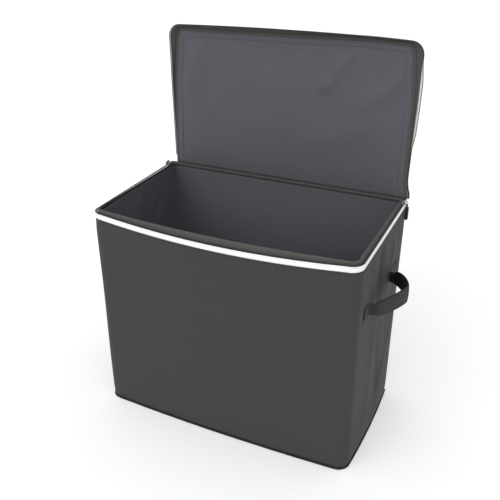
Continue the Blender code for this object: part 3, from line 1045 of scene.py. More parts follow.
    def wall_point(self, station: Station, height: float, inset: float = 0.0, loose: float = 0.0) -> Vector:
        """Find a place on a layer of the wall, folds included.

        Args:
            station: Station on the outline.
            height: Height above the floor.
            inset: Distance in from the outer face.
            loose: How far the outer cloth's waver applies, from 0 to 1.

        Returns:
            The world place.
        """
        out = self.swell(station, height)
        if loose:
            out += loose * self.waver(station, height)
        return self.place(station, height, inset - out)

    def trimmed(self, stretch: Stretch) -> float:
        """Share at which the cloth of the back or an end wall ends, half the gap short of the corner's."""
        front_y, rear_y = self.end_wall_ys
        back = self.rim_width - 2 * self.rear_corner_radius
        return 1 - self.gap / (back if stretch is Stretch.BACK else rear_y - front_y)

    def run(self, stretch: Stretch, first: float, last: float, columns: int) -> list[Station]:
        """Stations along one stretch."""
        return [(stretch, share) for share in spread(first, last, columns)]

    def runs(self, *parts: tuple[Stretch, float, float, int]) -> list[Station]:
        """Stations along stretches that follow each other, with one station where two meet."""
        meetings = [self.run(*part)[1:] for part in parts[1:]]
        return sum(meetings, self.run(*parts[0]))

    def walls(self) -> list[Station]:
        """Stations round the whole outline, counter-clockwise from the front left."""
        return self.runs((Stretch.FRONT, -1, 1, 48), (Stretch.FRONT_RIGHT, 1, 0, 7),
                         (Stretch.RIGHT, -1, 1, 36), (Stretch.REAR_RIGHT, 0, 1, 6),
                         (Stretch.BACK, 1, -1, 24), (Stretch.REAR_LEFT, 1, 0, 6),
                         (Stretch.LEFT, 1, -1, 36), (Stretch.FRONT_LEFT, 0, 1, 7))[:-1]

    def mouth(self, end: float, fineness: int = 1) -> list[Station]:
        """Stations from a share of the left end wall, round the front, to the same of the right."""
        return self.runs((Stretch.LEFT, end, -1, 36 * fineness), (Stretch.FRONT_LEFT, 0, 1, 8),
                         (Stretch.FRONT, -1, 1, 48 * fineness), (Stretch.FRONT_RIGHT, 1, 0, 8),
                         (Stretch.RIGHT, -1, end, 36 * fineness))

    def side_share_at(self, y: float) -> float:
        """Share along the upright part of an end wall at a depth."""
        front_y, rear_y = self.end_wall_ys
        return 2 * (y - front_y) / (rear_y - front_y) - 1


@dataclass
class Shell:
    """Outer cloth of the walls: a wrap round the front and both ends, the back, and the rear corners."""

    form: CaseForm
    wrap_rows: int = 96
    back_rows: int = 60
    back_columns: int = 60
    corner_columns: int = 8
    corner_ends: tuple[float, float] = (0.012, 0.985)
    tuck: float = 0.0007
    tuck_height: float = 0.003
    hem: float = 0.0028
    hem_end: float = 0.985

    def top(self, station: Station) -> float:
        """Height of the cloth's top edge."""
        return self.form.chain_height(station) - self.form.cover_top_drop

    def column(self, station: Station, top: float, rows: int) -> Column:
        """Lay points up the wall, tucked in at the foot towards the piping's seam.

        Args:
            station: Station on the outline.
            top: Height of the last point.
            rows: Steps between the points.

        Returns:
            The points.
        """
        points = []
        for height in spread(self.form.cover_bottom, top, rows):
            tuck = self.tuck * (1 - ease((height - self.form.cover_bottom) / self.tuck_height))
            points.append(self.form.wall_point(station, height, tuck, 1.0))
        return points

    def build(self) -> None:
        """Build the wall cloths and their stitches."""
        form = self.form
        columns = [self.column(s, self.top(s), self.wrap_rows)
                   for s in form.mouth(form.trimmed(Stretch.RIGHT), 2)]
        cut_cloth("wall_wrap_cloth", columns, OXFORD_SHELL, form.cover, "case", "outer_fabric", "front_panel",
                  "right_panel", "left_panel", "front_left_corner", "front_right_corner")
        end = form.trimmed(Stretch.BACK)
        top = form.rear_chain_height - form.hinge_strip_height - form.gap
        columns = [self.column(s, top, self.back_rows)
                   for s in form.run(Stretch.BACK, end, -end, self.back_columns)]
        cut_cloth("back_cloth", columns, OXFORD_SHELL, form.cover, "case", "outer_fabric", "back_panel")
        for corner in (Stretch.REAR_RIGHT, Stretch.REAR_LEFT):
            first, last = self.corner_ends[::corner.side]
            columns = [self.column(s, form.rear_chain_height, self.back_rows)
                       for s in form.run(corner, first, last, self.corner_columns)]
            cut_cloth(corner.value + "_cloth", columns, OXFORD_SHELL, form.cover, "case", "outer_fabric",
                      corner.value + "_corner")
        self.stitches()

    def stitches(self) -> None:
        """Sew the hem under the zip tape."""
        stations = self.form.mouth(self.hem_end, 2)
        points = [self.form.wall_point(s, self.top(s) - self.hem, -0.0001, 1.0) for s in stations]
        normals = [self.form.outward(s, self.top(s)) for s in stations]
        fit(stitched("wall_hem_stitches", [(points, normals)], BLACK_THREAD), "case", "outer_fabric")


@dataclass
class Base:
    """Underside of the case: the resting cloth, its board, and the piping round the bottom edge."""

    form: CaseForm
    piping_radius: float = 0.0017
    piping_inset: float = 0.0006
    piping_waver: float = 0.00025
    seam_rise: float = 0.0022
    tail_station: Station = (Stretch.REAR_RIGHT, 0.35)
    tail: tuple[tuple[float, float, float], ...] = (
        (0.0, 0.0, 1.0), (0.0012, 0.0003, 0.95), (0.0022, 0.0010, 0.85), (0.0028, 0.0019, 0.5))

    def build(self) -> None:
        """Build the underside, its piping and its seam."""
        form = self.form
        edge = self.piping_inset + self.piping_radius + form.gap
        under = Panel(form, 0.0, edge, form.base_width / 2, form.base_depth / 2, form.base_front_bow)
        cloth = under.build("base_cloth", OXFORD_SHELL, lambda x, y: 0.0, facing_up=False)
        thicken(cloth, form.cover)
        fit(cloth, "case", "outer_fabric", "base_cover")
        height = form.gap + self.piping_radius
        stations = form.walls()
        path = []
        for station in stations:
            waver = self.piping_waver * ripple(form.place(station, height), 0.02, 2.0)
            path.append(form.place(station, height, self.piping_inset - waver))
        cord = swept_shape(path, [ring_sides(self.piping_radius, 12)], closed=True, upright=UP)
        fit(mesh_object("base_piping_cord", cord, DARK_BINDING), "case", "piping_fabric", "base_piping")
        self.lapped_end(height)
        seam = [form.wall_point(s, form.cover_bottom + self.seam_rise, 0.0003, 1.0) for s in stations]
        normals = [form.outward(s, form.cover_bottom) for s in stations]
        lines = [(seam + seam[:1], normals + normals[:1])]
        fit(stitched("base_seam_stitches", lines, BLACK_THREAD, radius=0.00025), "case", "outer_fabric")

    def lapped_end(self, height: float) -> None:
        """Build the short tail where the piping's ends are lapped at the rear right corner.

        Args:
            height: Height of the piping's middle.
        """
        start = self.form.place(self.tail_station, height, self.piping_inset)
        out = self.form.outward(self.tail_station, height)
        path = [start + out * reach + UP * rise for reach, rise, _ in self.tail]
        sections = [ring_sides(self.piping_radius * width, 10) for _, _, width in self.tail]
        piece = mesh_object("base_piping_tail", swept_shape(path, sections), DARK_BINDING)
        fit(piece, "case", "piping_fabric")


@dataclass
class Panel:
    """A cloth on the case's plan, shrunk by an inset, with its own gentle relief."""

    form: CaseForm
    height: float
    inset: float
    half_width: float
    half_depth: float
    front_bow: float
    rear_y: float | None = None
    columns: int = 72
    rows: int = 40
    crowding: float = 0.14

    def corner_inset(self, reach: float, corner_radius: float) -> float:
        """Find how far the outline lies in from the front or the back.

        Args:
            reach: Distance from the middle, along the width.
            corner_radius: Radius of the case's corner at that edge.

        Returns:
            The distance, with the panel's own inset.
        """
        flat = self.half_width - corner_radius
        if reach <= flat:
            return self.inset
        radius = corner_radius - self.inset
        return corner_radius - math.sqrt(max(radius ** 2 - (reach - flat) ** 2, 0.0))

    def depth_limits(self, x: float) -> tuple[float, float]:
        """Find the front and the rear y of the outline.

        Args:
            x: Place across the case.

        Returns:
            The front y and the rear y.
        """
        form, reach = self.form, abs(x)
        flat = self.half_width - form.front_corner_radius
        bow = self.front_bow * max(1 - (reach / flat) ** 2, 0.0)
        front = self.corner_inset(reach, form.front_corner_radius) - self.half_depth - bow
        if self.rear_y is not None:
            return front, self.rear_y
        return front, self.half_depth - self.corner_inset(reach, form.rear_corner_radius)

    def build(self, name: str, finish: Finish, relief: Callable[[float, float], float],
              facing_up: bool = True, settle: Callable[[Vector], Vector] = lambda point: point) -> Piece:
        """Build the panel, its columns closer together at its ends.

        Args:
            name: Name of the piece.
            finish: Its finish.
            relief: Rise above the panel's height at an x and a y.
            facing_up: Whether its outer face looks up, before it is settled.
            settle: Last move of each point.

        Returns:
            The open surface, which is still to be given its thickness.
        """
        reach = self.half_width - self.inset
        grid = []
        for share in spread(-1, 1, self.columns):
            x = reach * lerp(share, math.sin(share * math.pi / 2), self.crowding)
            front, rear = self.depth_limits(x)
            grid.append([settle(Vector((x, y, self.height + relief(x, y))))
                         for y in spread(front, rear, self.rows)])
        return mesh_object(name, grid_shape(grid if facing_up else grid[::-1]), finish)


@dataclass
class Interior:
    """Stiffener boards, the lining sleeve inside them and the floor lining."""

    form: CaseForm
    cloth: float = 0.0009
    rows: int = 60
    board_columns: int = 48
    sleeve_foot: float = 0.0015
    sleeve_slack: float = 0.0014
    seam_bottom: float = 0.02
    seam_top_drop: float = 0.012
    floor_edge: float = 0.0065
    floor_gap: float = 0.0016
    floor_puff: float = 0.0005
    floor_wave: float = 0.0005

    def build(self) -> None:
        """Build the boards and the lining."""
        for node in ("front_board", "back_board", "base_board"):
            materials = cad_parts[node].data.materials
            materials.clear()
            materials.append(STIFF_BOARD.material())
        for end in End:
            self.end_board(end)
        self.sleeve()
        self.floor()

    def end_board(self, end: End) -> None:
        """Build an end wall's board, which gives along the folds that show in the cloth.

        Args:
            end: The end.
        """
        form = self.form
        reach = end.value * form.trimmed(Stretch.RIGHT)
        columns = []
        for station in form.run(end.wall, -reach, reach, self.board_columns):
            heights = spread(form.walls_bottom, form.chain_height(station) - form.board_top_drop, self.rows)
            columns.append([form.wall_point(station, height, form.board_inset) for height in heights])
        cut_cloth(end.title + "_end_board", columns, STIFF_BOARD, form.board, "case", "stiffener_board",
                  end.title + "_board")

    def sleeve(self) -> None:
        """Build the lining sleeve, which stands a little loose from the boards, and its corner seams."""
        form = self.form
        columns = []
        for station in form.walls()[::-1]:
            top = form.chain_height(station) - form.board_top_drop
            column = []
            for height in spread(form.walls_bottom + self.sleeve_foot, top, self.rows):
                flat = form.place(station, height)
                slack = max(0.0, ripple(Vector((flat.x, flat.y, height * 0.5)), 0.055, 6.0))
                middle = ease((top - 0.015 - height) / 0.03) * ease((height - 0.01) / 0.03)
                loose = self.sleeve_slack * slack * middle
                column.append(form.wall_point(station, height, form.inner_face_inset + loose))
            columns.append(column)
        piece = mesh_object("lining_sleeve", grid_shape(columns, closed=True), LINING_CLOTH)
        fit(thicken(piece, self.cloth), "case", "lining_fabric", "inner_lining")
        for end in End:
            station = (end.rear_corner, 0.5)
            seam_top = form.rear_chain_height - self.seam_top_drop
            line = [form.place(station, height, form.inner_face_inset + 0.0004)
                    for height in spread(self.seam_bottom, seam_top, self.rows)]
            normals = [-form.outward(station, form.upright_height)] * len(line)
            fit(stitched(end.title + "_lining_seam_stitches", [(line, normals)], BLACK_THREAD), "case",
                "lining_fabric")

    def floor_relief(self, x: float, y: float) -> float:
        """Give the rise of the floor lining: flat at its edges, with slow waves between.

        Args:
            x: Place across the case.
            y: Place along it.

        Returns:
            The rise above the base board.
        """
        form = self.form
        edge = min(form.base_width / 2 - abs(x), form.base_depth / 2 - abs(y)) - self.floor_edge
        slack = max(0.0, ripple(Vector((x, y, 0)), 0.07, 3.0))
        return self.floor_puff * ease(edge / 0.012) + self.floor_wave * slack * ease(edge / 0.03)

    def floor(self) -> None:
        """Build the floor lining over the base board, soft at its edges."""
        form = self.form
        inset = form.inner_face_inset + form.gap + self.floor_gap
        panel = Panel(form, form.walls_bottom + 0.001, inset, *form.plan_at(form.walls_bottom)[:3])
        piece = panel.build("floor_lining_cloth", LINING_CLOTH, self.floor_relief)
        fit(thicken(piece, self.cloth), "case", "lining_fabric", "floor_lining")


@dataclass
class ZipHalf:
    """Half of the zip: a tape with two soft ribs, and the coil wound over a core along its edge."""

    form: CaseForm
    rib: float = 0.00035
    wire: float = 0.00027
    core: float = 0.0004
    pitch: float = 0.0015
    rows: int = 10

    def tape_column(self, place: Callable[[Station, float, float], Vector], station: Station, low: float,
                    high: float, flare: float = 0.0) -> Column:
        """Lay points across the tape.

        Args:
            place: Gives a world place for a station, a height and an inset.
            station: Station on the outline.
            low: Height of the tape's lower edge.
            high: Height of its upper edge.
            flare: How far its lower edge stands out.

        Returns:
            The column of points.
        """
        points = []
        for share in spread(0, 1, self.rows):
            bulge = self.rib * math.sin(2 * math.pi * share) ** 2
            points.append(place(station, lerp(low, high, share), -bulge - flare * (1 - share) ** CURL))
        return points

    def build(self, title: str, body: str, tape_columns: Sequence[Column], line: Line) -> None:
        """Build the tape and the coil.

        Args:
            title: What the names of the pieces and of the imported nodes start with.
            body: Body that they move with.
            tape_columns: Columns across the tape.
            line: Middle line of the coil.
        """
        cut_cloth(title + "_zip_tape_cloth", tape_columns, ZIP_TAPE_WHITE, self.form.tape, body, "zip_tape",
                  title + "_zip_tape")
        # the coil's near-black finish is painted shade for the gap along the zip
        wound = coil_line(line, self.form.coil_radius - self.wire, self.pitch, 8)
        shape = swept_shape(wound, [ring_sides(self.wire, 5)])
        swept_shape(line, [ring_sides(self.core, 6)], shape=shape)
        fit(mesh_object(title + "_zip_coil_teeth", shape, COIL_DARKENED_AS_GAP_SHADE), body, "zip_coil", title + "_zip_coil")


@dataclass
class Rim:
    """Zip half on the rim, the rolled lip inside it and the tabs that close off the zip."""

    form: CaseForm
    tape_seams: tuple[float, float] = (0.0092, 0.0038)
    lip_inset: float = 0.0034
    lip_thickness: float = 0.0032
    lip_overlap: float = 0.004
    lip_front_rise: float = 0.008
    lip_side_rise: float = 0.003
    lip_rear_rise: float = -0.0002
    lip_end_lean: float = 0.0030
    lip_lean: float = 0.0005
    lip_end_thinning: float = 0.5
    lip_waver: float = 0.0004
    lip_seam: tuple[float, float] = (0.62, 1.03)
    tab_cloth: float = 0.001
    tab_columns: int = 8
    tab_ends: tuple[float, float] = (0.05, 0.6)
    tab_height: float = 0.010
    tab_puff: float = 0.0003
    tab_seams: tuple[float, float] = (0.0016, 0.0084)

    def lip_top(self, station: Station) -> float:
        """Give the height of the lip's top edge.

        Args:
            station: Station on the outline.

        Returns:
            The height.
        """
        stretch, share = station
        rise = self.lip_rear_rise
        if stretch is Stretch.FRONT:
            rise = lerp(self.lip_front_rise, self.lip_side_rise, share ** 2)
        elif stretch.is_front:
            rise = self.lip_side_rise
        elif stretch.is_end:
            rise = lerp(self.lip_side_rise, self.lip_rear_rise, (share + 1) / 2)
        return self.form.chain_height(station) + rise

    def build(self) -> None:
        """Build the tape, coil, lip and end tabs."""
        form = self.form
        stations = form.mouth(form.trimmed(Stretch.RIGHT), 2)
        zip_half = ZipHalf(form)
        columns = []
        for station in stations:
            chain = form.chain_height(station)
            columns.append(zip_half.tape_column(form.place, station, chain - form.tape_bottom_drop,
                                                chain - form.tape_top_drop))
        line = [form.place(s, form.chain_height(s) - form.coil_radius, form.tape / 2) for s in stations]
        zip_half.build("rim", "case", columns, line)
        normals = [form.outward(s, form.upright_height) for s in stations]
        rows = [([form.place(s, form.chain_height(s) - drop, -0.0003) for s in stations], normals)
                for drop in self.tape_seams]
        fit(stitched("rim_tape_stitches", rows, WHITE_THREAD, radius=0.00022), "case", "zip_tape")
        self.lip()
        for end in End:
            self.end_tab(end)

    def lip_section(self) -> Section:
        """Draw the closed section of the rolled lip.

        Returns:
            Shares of its height above the foot and of its thickness, from 0 outside to 1 inside.
        """
        crown = [(1 - 0.16 * (1 - math.sin(turn)), (1 - math.cos(turn)) / 2)
                 for turn in spread(0, math.pi, 6)]
        outside = [(0.0, 0.0), (0.35, 0.02), (0.7, 0.0)]
        return outside + crown + [(0.7, 1.0), (0.35, 0.98), (0.0, 1.0)] + outside[:1]

    def lip_point(self, station: Station, up: float, across: float) -> Vector:
        """Find a place on the lip, which leans in towards its top.

        Args:
            station: Station on the outline.
            up: Share of the lip's height above its foot.
            across: Share of its thickness, from 0 outside to 1 inside.

        Returns:
            The world place.
        """
        form = self.form
        foot, top = form.chain_height(station) - self.lip_overlap, self.lip_top(station)
        lean, thickness = self.lip_lean, self.lip_thickness
        if station[0].is_end:
            lean, thickness = self.lip_end_lean, self.lip_end_thinning * self.lip_thickness
        lean += self.lip_waver * ripple(form.place(station, top), 0.04, 5.0)
        inset = self.lip_inset + thickness * across + lean * up ** 1.5
        return form.place(station, lerp(foot, top, up), inset)

    def lip(self) -> None:
        """Build the rolled lip, an upright band of doubled cloth with a round top, and its stitches."""
        stations = self.form.walls()
        columns = [[self.lip_point(s, up, across) for up, across in self.lip_section()] for s in stations]
        piece = welded(mesh_object("rolled_lip_cloth", grid_shape(columns, closed=True), LIP_CLOTH))
        fit(piece, "case", "lip_fabric", "rim_lip")
        line = [self.lip_point(station, *self.lip_seam) for station in stations]
        normals = [-self.form.outward(s, self.form.upright_height) for s in stations]
        fit(stitched("lip_stitches", [(line + line[:1], normals + normals[:1])], BLACK_THREAD), "case",
            "lip_fabric")

    def end_tab(self, end: End) -> None:
        """Build the cloth tab over the zip's end at a rear corner, with two rows of stitches.

        Args:
            end: The end.
        """
        form = self.form
        stations = form.run(end.rear_corner, *self.tab_ends[::end.value], self.tab_columns)
        columns = []
        for number, station in enumerate(stations):
            puff = self.tab_puff * min(number, self.tab_columns - number, 2) / 2
            heights = spread(form.rear_chain_height - self.tab_height, form.rear_chain_height, 8)
            face = -form.gap - self.tab_cloth - puff
            columns.append([form.place(station, height, face) for height in heights])
        cut_cloth(end.title + "_zip_end_tab_cloth", columns, TRIM_CLOTH, self.tab_cloth, "case",
                  "outer_fabric", end.title + "_zip_end_tab")
        lines = []
        for drop in self.tab_seams:
            level = [form.place(s, form.rear_chain_height - drop, -form.gap - 0.0014) for s in stations]
            lines.append((level, [form.outward(s, form.rear_chain_height) for s in stations]))
        stitches = stitched(end.title + "_zip_end_tab_stitches", lines, BLACK_THREAD, 0.0012, 0.0005, 0.00022)
        fit(stitches, "case", "outer_fabric")


@dataclass
class Hinge:
    """The cloth hinge: a strip along the back wall, the rolled fold, and the cloth that bends round it."""

    form: CaseForm
    axis_y: float = 0.1170
    axis_z: float = 0.3360
    fold_radius: float = 0.0022
    lean_degrees: float = 1.0
    cloth: float = 0.0004
    columns: int = 60
    strip_seams: tuple[float, float] = (0.0025, 0.0045)
    bend_foot: float = 0.0062
    bend_start: float = 0.0034
    bend_turns: tuple[float, float] = (-112, 26)
    pucker: float = 0.00012

    def open_lid(self, point: Vector) -> Vector:
        """Move a point of the closed lid to the open lid."""
        axis = Vector((0, self.axis_y, self.axis_z))
        return axis + Matrix.Rotation(-math.pi / 2 - math.radians(self.lean_degrees), 3, "X") @ (point - axis)

    def build(self) -> None:
        """Build the strip, the fold and the bending cloth."""
        form = self.form
        end = form.trimmed(Stretch.BACK)
        foot = form.rear_chain_height - form.hinge_strip_height
        columns = [[form.place(s, height) for height in spread(foot, form.rear_chain_height, 10)]
                   for s in form.run(Stretch.BACK, end, -end, self.columns)]
        cut_cloth("hinge_strip_cloth", columns, OXFORD_SHELL, form.cover, "case", "outer_fabric",
                  "hinge_strip")
        reach = form.rim_width / 2 - form.rear_corner_radius
        path = [Vector((x, self.axis_y, self.axis_z)) for x in spread(-reach, reach, self.columns)]
        sections = [ring_sides(self.fold_radius, 14)] * len(path)
        sections[0] = sections[-1] = ring_sides(self.fold_radius * 0.8, 14)
        fold = swept_shape(path, sections, upright=UP)
        fit(mesh_object("hinge_fold_cord", fold, DARK_BINDING), "case", "outer_fabric", "hinge_welt")
        self.bending_cloth(reach - 0.001)
        xs = spread(reach - 0.003, 0.003 - reach, 100)
        rows = [([Vector((x, form.rim_depth / 2 + 0.0002, foot + rise)) for x in xs], [REARWARD] * len(xs))
                for rise in self.strip_seams]
        fit(stitched("hinge_strip_stitches", rows, BLACK_THREAD), "case", "outer_fabric")

    def fold_profile(self, lift: float) -> Section:
        """Draw the section of the bending cloth.

        Args:
            lift: Distance above the face that lies on the wall and the fold.

        Returns:
            The places in y and z, from the wall's side to the flap's.
        """
        wall, around = self.form.rim_depth / 2 + 0.0001 + lift, self.fold_radius + 0.00015 + lift
        profile = [(wall, self.axis_z - drop) for drop in spread(self.bend_foot, self.bend_start, 4)]
        for angle in spread(*map(math.radians, self.bend_turns), 15):
            profile.append((self.axis_y + around * math.cos(angle), self.axis_z + around * math.sin(angle)))
        return profile

    def bending_cloth(self, reach: float) -> None:
        """Build the cloth that runs from the wall under the fold to the lid's flap.

        Args:
            reach: Half its length.
        """
        xs = spread(reach, -reach, 100)
        columns = []
        for x, ply in zip([xs[0], *xs, xs[-1]], [0.0] + [self.cloth] * len(xs) + [0.0]):
            pucker = self.pucker * ripple(Vector((x, 0, 0)), 0.010, 8.0)
            section = self.fold_profile(ply) + self.fold_profile(0.0)[::-1]
            columns.append([Vector((x, y + pucker, z - pucker)) for y, z in section + section[:1]])
        cloth = welded(mesh_object("hinge_bending_cloth", grid_shape(columns), OXFORD_SHELL))
        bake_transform(cloth)
        log.info("hinge_bending_cloth bends between case and lid")


@dataclass
class Lid:
    """The lid: cover, board, lining with its border, edge piping, skirt and zip half, standing open."""

    form: CaseForm
    hinge: Hinge
    underside: float = 0.3458
    board_bottom: float = 0.3471
    cover_top: float = 0.3504
    cover_inset: float = 0.0027
    skirt_top: float = 0.3484
    skirt_inset: float = 0.0011
    piping_height: float = 0.3499
    piping_radius: float = 0.0012
    rear_y: float = 0.1145
    zip_rear_y: float = 0.1015
    edge_dip: float = 0.005
    lining_inset: float = 0.0127
    border_split: float = 0.0066
    border_fade_y: float = 0.082
    flare: float = 0.0010
    flare_height: float = 0.012
    tape_width: float = 0.008
    narrowest_tape: float = 0.0026
    loose_tape: float = 0.0026
    right_pull: float = 0.0050
    corner_pull: float = 0.0068
    corner_pull_start: float = 0.58
    front_pull: float = 0.0052
    pull_depth: float = 0.235
    skirt_slip: float = 0.14
    slip_bottom: float = 0.336
    slip_rise: float = 0.010
    cloth: float = 0.0009
    flap_half_width: float = 0.1945
    seam_ends: float = 0.90
    cover_seam_inset: float = 0.0062
    border_seam_inset: float = 0.0056
    creases: tuple[Fold, ...] = (
        Fold((0.112, 0.222), (0.052, 0.150), 0.011, 0.0042),
        Fold((0.060, 0.222), (0.066, 0.168), 0.008, -0.0036),
        Fold((0.186, 0.188), (0.120, 0.128), 0.013, 0.0036),
        Fold((0.178, 0.220), (0.150, 0.170), 0.009, -0.0030),
        Fold((0.020, 0.218), (-0.070, 0.186), 0.013, -0.0026),
        Fold((-0.152, 0.218), (-0.188, 0.110), 0.015, 0.0030),
        Fold((-0.120, 0.200), (-0.135, 0.090), 0.020, -0.0022),
        Fold((0.150, 0.110), (0.040, 0.070), 0.022, 0.0022),
        Fold((-0.030, 0.130), (-0.150, 0.075), 0.026, -0.0020),
    )

    @property
    def half_width(self) -> float:
        """Half the lid's width."""
        return self.form.rim_width / 2

    @property
    def half_depth(self) -> float:
        """Half the lid's depth."""
        return self.form.rim_depth / 2

    @property
    def out(self) -> Vector:
        """Direction out of the open lid's cover."""
        return (self.hinge.open_lid(UP) - self.hinge.open_lid(Vector((0, 0, 0)))).normalized()

    def settle(self, point: Vector) -> Vector:
        """Let the soft lid hang as it does, and stand it open.

        Its right side, its corners and its free edge are drawn in, and the skirt's own edge
        follows them only in part, so that it still meets the rim where the zip closes.

        Args:
            point: Point of the closed lid.

        Returns:
            The point of the open lid.
        """
        reach = min(max((self.hinge.axis_y - point.y) / self.pull_depth, 0.0), 1.0)
        slip = lerp(self.skirt_slip, 1.0, ease((point.z - self.slip_bottom) / self.slip_rise))
        pull = self.corner_pull * ease((reach - self.corner_pull_start) / (1 - self.corner_pull_start))
        if point.x > 0:
            pull += self.right_pull * ease(reach / 0.15)
        middle = ease((0.15 - point.x) / 0.16) * ease((point.x + 0.26) / 0.16)
        back = self.front_pull * middle * reach ** 3
        moved = Vector((point.x * (1 - slip * pull / self.half_width), point.y + slip * back, point.z))
        return self.hinge.open_lid(moved)

    def place(self, station: Station, height: float, inset: float = 0.0) -> Vector:
        """World place of a station on the open lid, from its closed height and inset."""
        return self.settle(self.form.place(station, height, inset))

    def stations(self, rear_y: float, fineness: int = 1) -> list[Station]:
        """Stations round the lid's three free edges, from a depth on its left to the same on its right."""
        return self.form.mouth(self.form.side_share_at(rear_y), fineness)

    def tape_bottom(self, station: Station) -> float:
        """Give the closed height of the zip tape's lower edge.

        Args:
            station: Station on the outline.

        Returns:
            The height.
        """
        form = self.form
        dip = self.edge_dip * (1 - station[1] ** 2) if station[0] is Stretch.FRONT else 0.0
        base = form.front_chain_height if station[0].is_front else form.chain_height(station)
        return base + form.zip_slot - dip + form.tape_top_drop

    def panel(self, height: float, inset: float) -> Panel:
        """Panel on the lid's outline."""
        return Panel(self.form, height, inset, self.half_width, self.half_depth, self.form.rim_front_bow,
                     self.rear_y, 96, 56)

    def edge_distance(self, x: float, y: float, inset: float) -> float:
        """Distance of a place from the lid's outline at an inset."""
        return min(self.half_width - inset - abs(x), y + self.half_depth - inset, self.rear_y - y)

    def cover_relief(self, x: float, y: float) -> float:
        """Rise of the cover at a place, slightly pillowed over its board."""
        edge, wave = self.edge_distance(x, y, 0.003), ripple(Vector((x, y, 0)), 0.10, 12.0)
        return 0.0006 * ease(edge / 0.02) + 0.0007 * max(0.0, wave) * ease(edge / 0.03)

    def lining_relief(self, x: float, y: float) -> float:
        """Give the drop of the lining below the board: its pillow, slow waves and creases.

        Args:
            x: Place across the lid.
            y: Place along it, when it is closed.

        Returns:
            The rise above the board, which is below 0.
        """
        edge = self.edge_distance(x, y, self.lining_inset)
        crease = sum(line.at(x, self.hinge.axis_y - y) for line in self.creases)
        pillow = 0.0008 + 0.0009 * ease(edge / 0.03)
        slow = 0.0008 * ripple(Vector((x, y, 0)), 0.11, 21.0) * ease(edge / 0.02)
        return -max(pillow + slow + crease * ease(edge / 0.016), 0.0)

    def build(self) -> None:
        """Build every layer of the lid."""
        cover = self.panel(self.cover_top, self.cover_inset).build(
            "lid_cover_cloth", OXFORD_SHELL, self.cover_relief, settle=self.settle)
        thicken(cover, self.form.cover)
        fit(cover, "lid", "outer_fabric", "lid_cover")
        board = self.panel(self.board_bottom, self.cover_inset).build(
            "lid_pressed_board", STIFF_BOARD, lambda x, y: 0.0, facing_up=False, settle=self.settle)
        thicken(board, self.form.board, -0.98)
        fit(board, "lid", "stiffener_board", "lid_board")
        lining = self.panel(self.underside, self.lining_inset).build(
            "lid_lining_cloth", LINING_CLOTH, self.lining_relief, facing_up=False, settle=self.settle)
        thicken(lining, self.cloth)
        fit(lining, "lid", "lining_fabric", "lid_lining")
        self.border()
        self.edge()
        self.zip_half()
        self.flap()
        self.stitches()

    def band(self, name: str, section: Section, finish: Finish, slot: str, *stands_for: str) -> None:
        """Build a band along the lid's outline, on its underside.

        Args:
            name: Name of the piece.
            section: Inset and drop below the underside of each point across it.
            finish: Its finish.
            slot: Material slot name, passed on to fit.
            *stands_for: CAD nodes that it replaces.
        """
        columns = []
        for station in self.stations(self.rear_y):
            fade = 1 - 0.85 * ease((self.form.place(station, 0.0).y - self.border_fade_y) / 0.008)
            columns.append([self.place(station, self.underside - drop * fade, inset)
                            for inset, drop in section])
        cut_cloth(name, columns, finish, self.cloth, "lid", slot, *stands_for)

    def border(self) -> None:
        """Build the cloth border round the lining, and the soft welt of lining cloth on its inner side."""
        split, edge = self.border_split, self.lining_inset
        border = [(0.0021, -0.0006), (0.0025, 0.0002), (0.0056, 0.0006), (split - 0.0004, 0.0004),
                  (split, -0.0002)]
        self.band("lid_border_binding", border, LIP_CLOTH, "outer_fabric", "lid_border")
        roll = [(split + inset, drop) for inset, drop in
                ((0.0007, -0.0002), (0.0013, 0.0007), (0.0026, 0.0011), (0.0046, 0.0011))]
        tail = [(edge + inset, drop) for inset, drop in
                ((0.0004, 0.0010), (0.0014, 0.00086), (0.0019, 0.00079), (0.0025, 0.0005), (0.0030, 0.0002))]
        self.band("lid_lining_welt", roll + tail, LINING_CLOTH, "lining_fabric")

    def edge(self) -> None:
        """Build the piping cord round the lid's edge and the skirt behind the zip tape."""
        path = [self.place(s, self.piping_height, self.piping_radius) for s in self.stations(self.rear_y)]
        cord = swept_shape(path, [ring_sides(self.piping_radius, 10)], upright=self.out)
        fit(mesh_object("lid_piping_cord", cord, DARK_BINDING), "lid", "piping_fabric", "lid_piping")
        columns = []
        for station in self.stations(self.zip_rear_y):
            column = []
            for height in spread(self.tape_bottom(station), self.skirt_top, 8):
                stand = self.flare * ((self.skirt_top - height) / self.flare_height) ** CURL
                column.append(self.place(station, height, self.skirt_inset - stand))
            columns.append(column)
        piece = mesh_object("lid_skirt_cloth", grid_shape(columns), OXFORD_SHELL)
        thicken(piece, self.cloth, back=LIP_CLOTH)
        fit(piece, "lid", "outer_fabric", "lid_skirt")

    def zip_half(self) -> None:
        """Build the lid's zip tape and coil; the tape stands out a little where nothing holds it."""
        form, zip_half = self.form, ZipHalf(self.form)
        columns, line = [], []
        for station in self.stations(self.zip_rear_y, 2):
            low = self.tape_bottom(station)
            high = max(min(low + self.tape_width, self.skirt_top), low + self.narrowest_tape)
            stand = self.flare * min((self.skirt_top - low) / self.flare_height, 1.0) ** CURL
            if station[0] is Stretch.RIGHT:
                stand += self.loose_tape * ease((station[1] + 0.95) / 0.35) * ease((0.35 - station[1]) / 0.3)
            columns.append(zip_half.tape_column(self.place, station, low, high, stand))
            coil_height = low - form.tape_top_drop + form.coil_radius
            line.append(self.place(station, coil_height, form.tape / 2 - stand))
        zip_half.build("lid", "lid", columns, line)

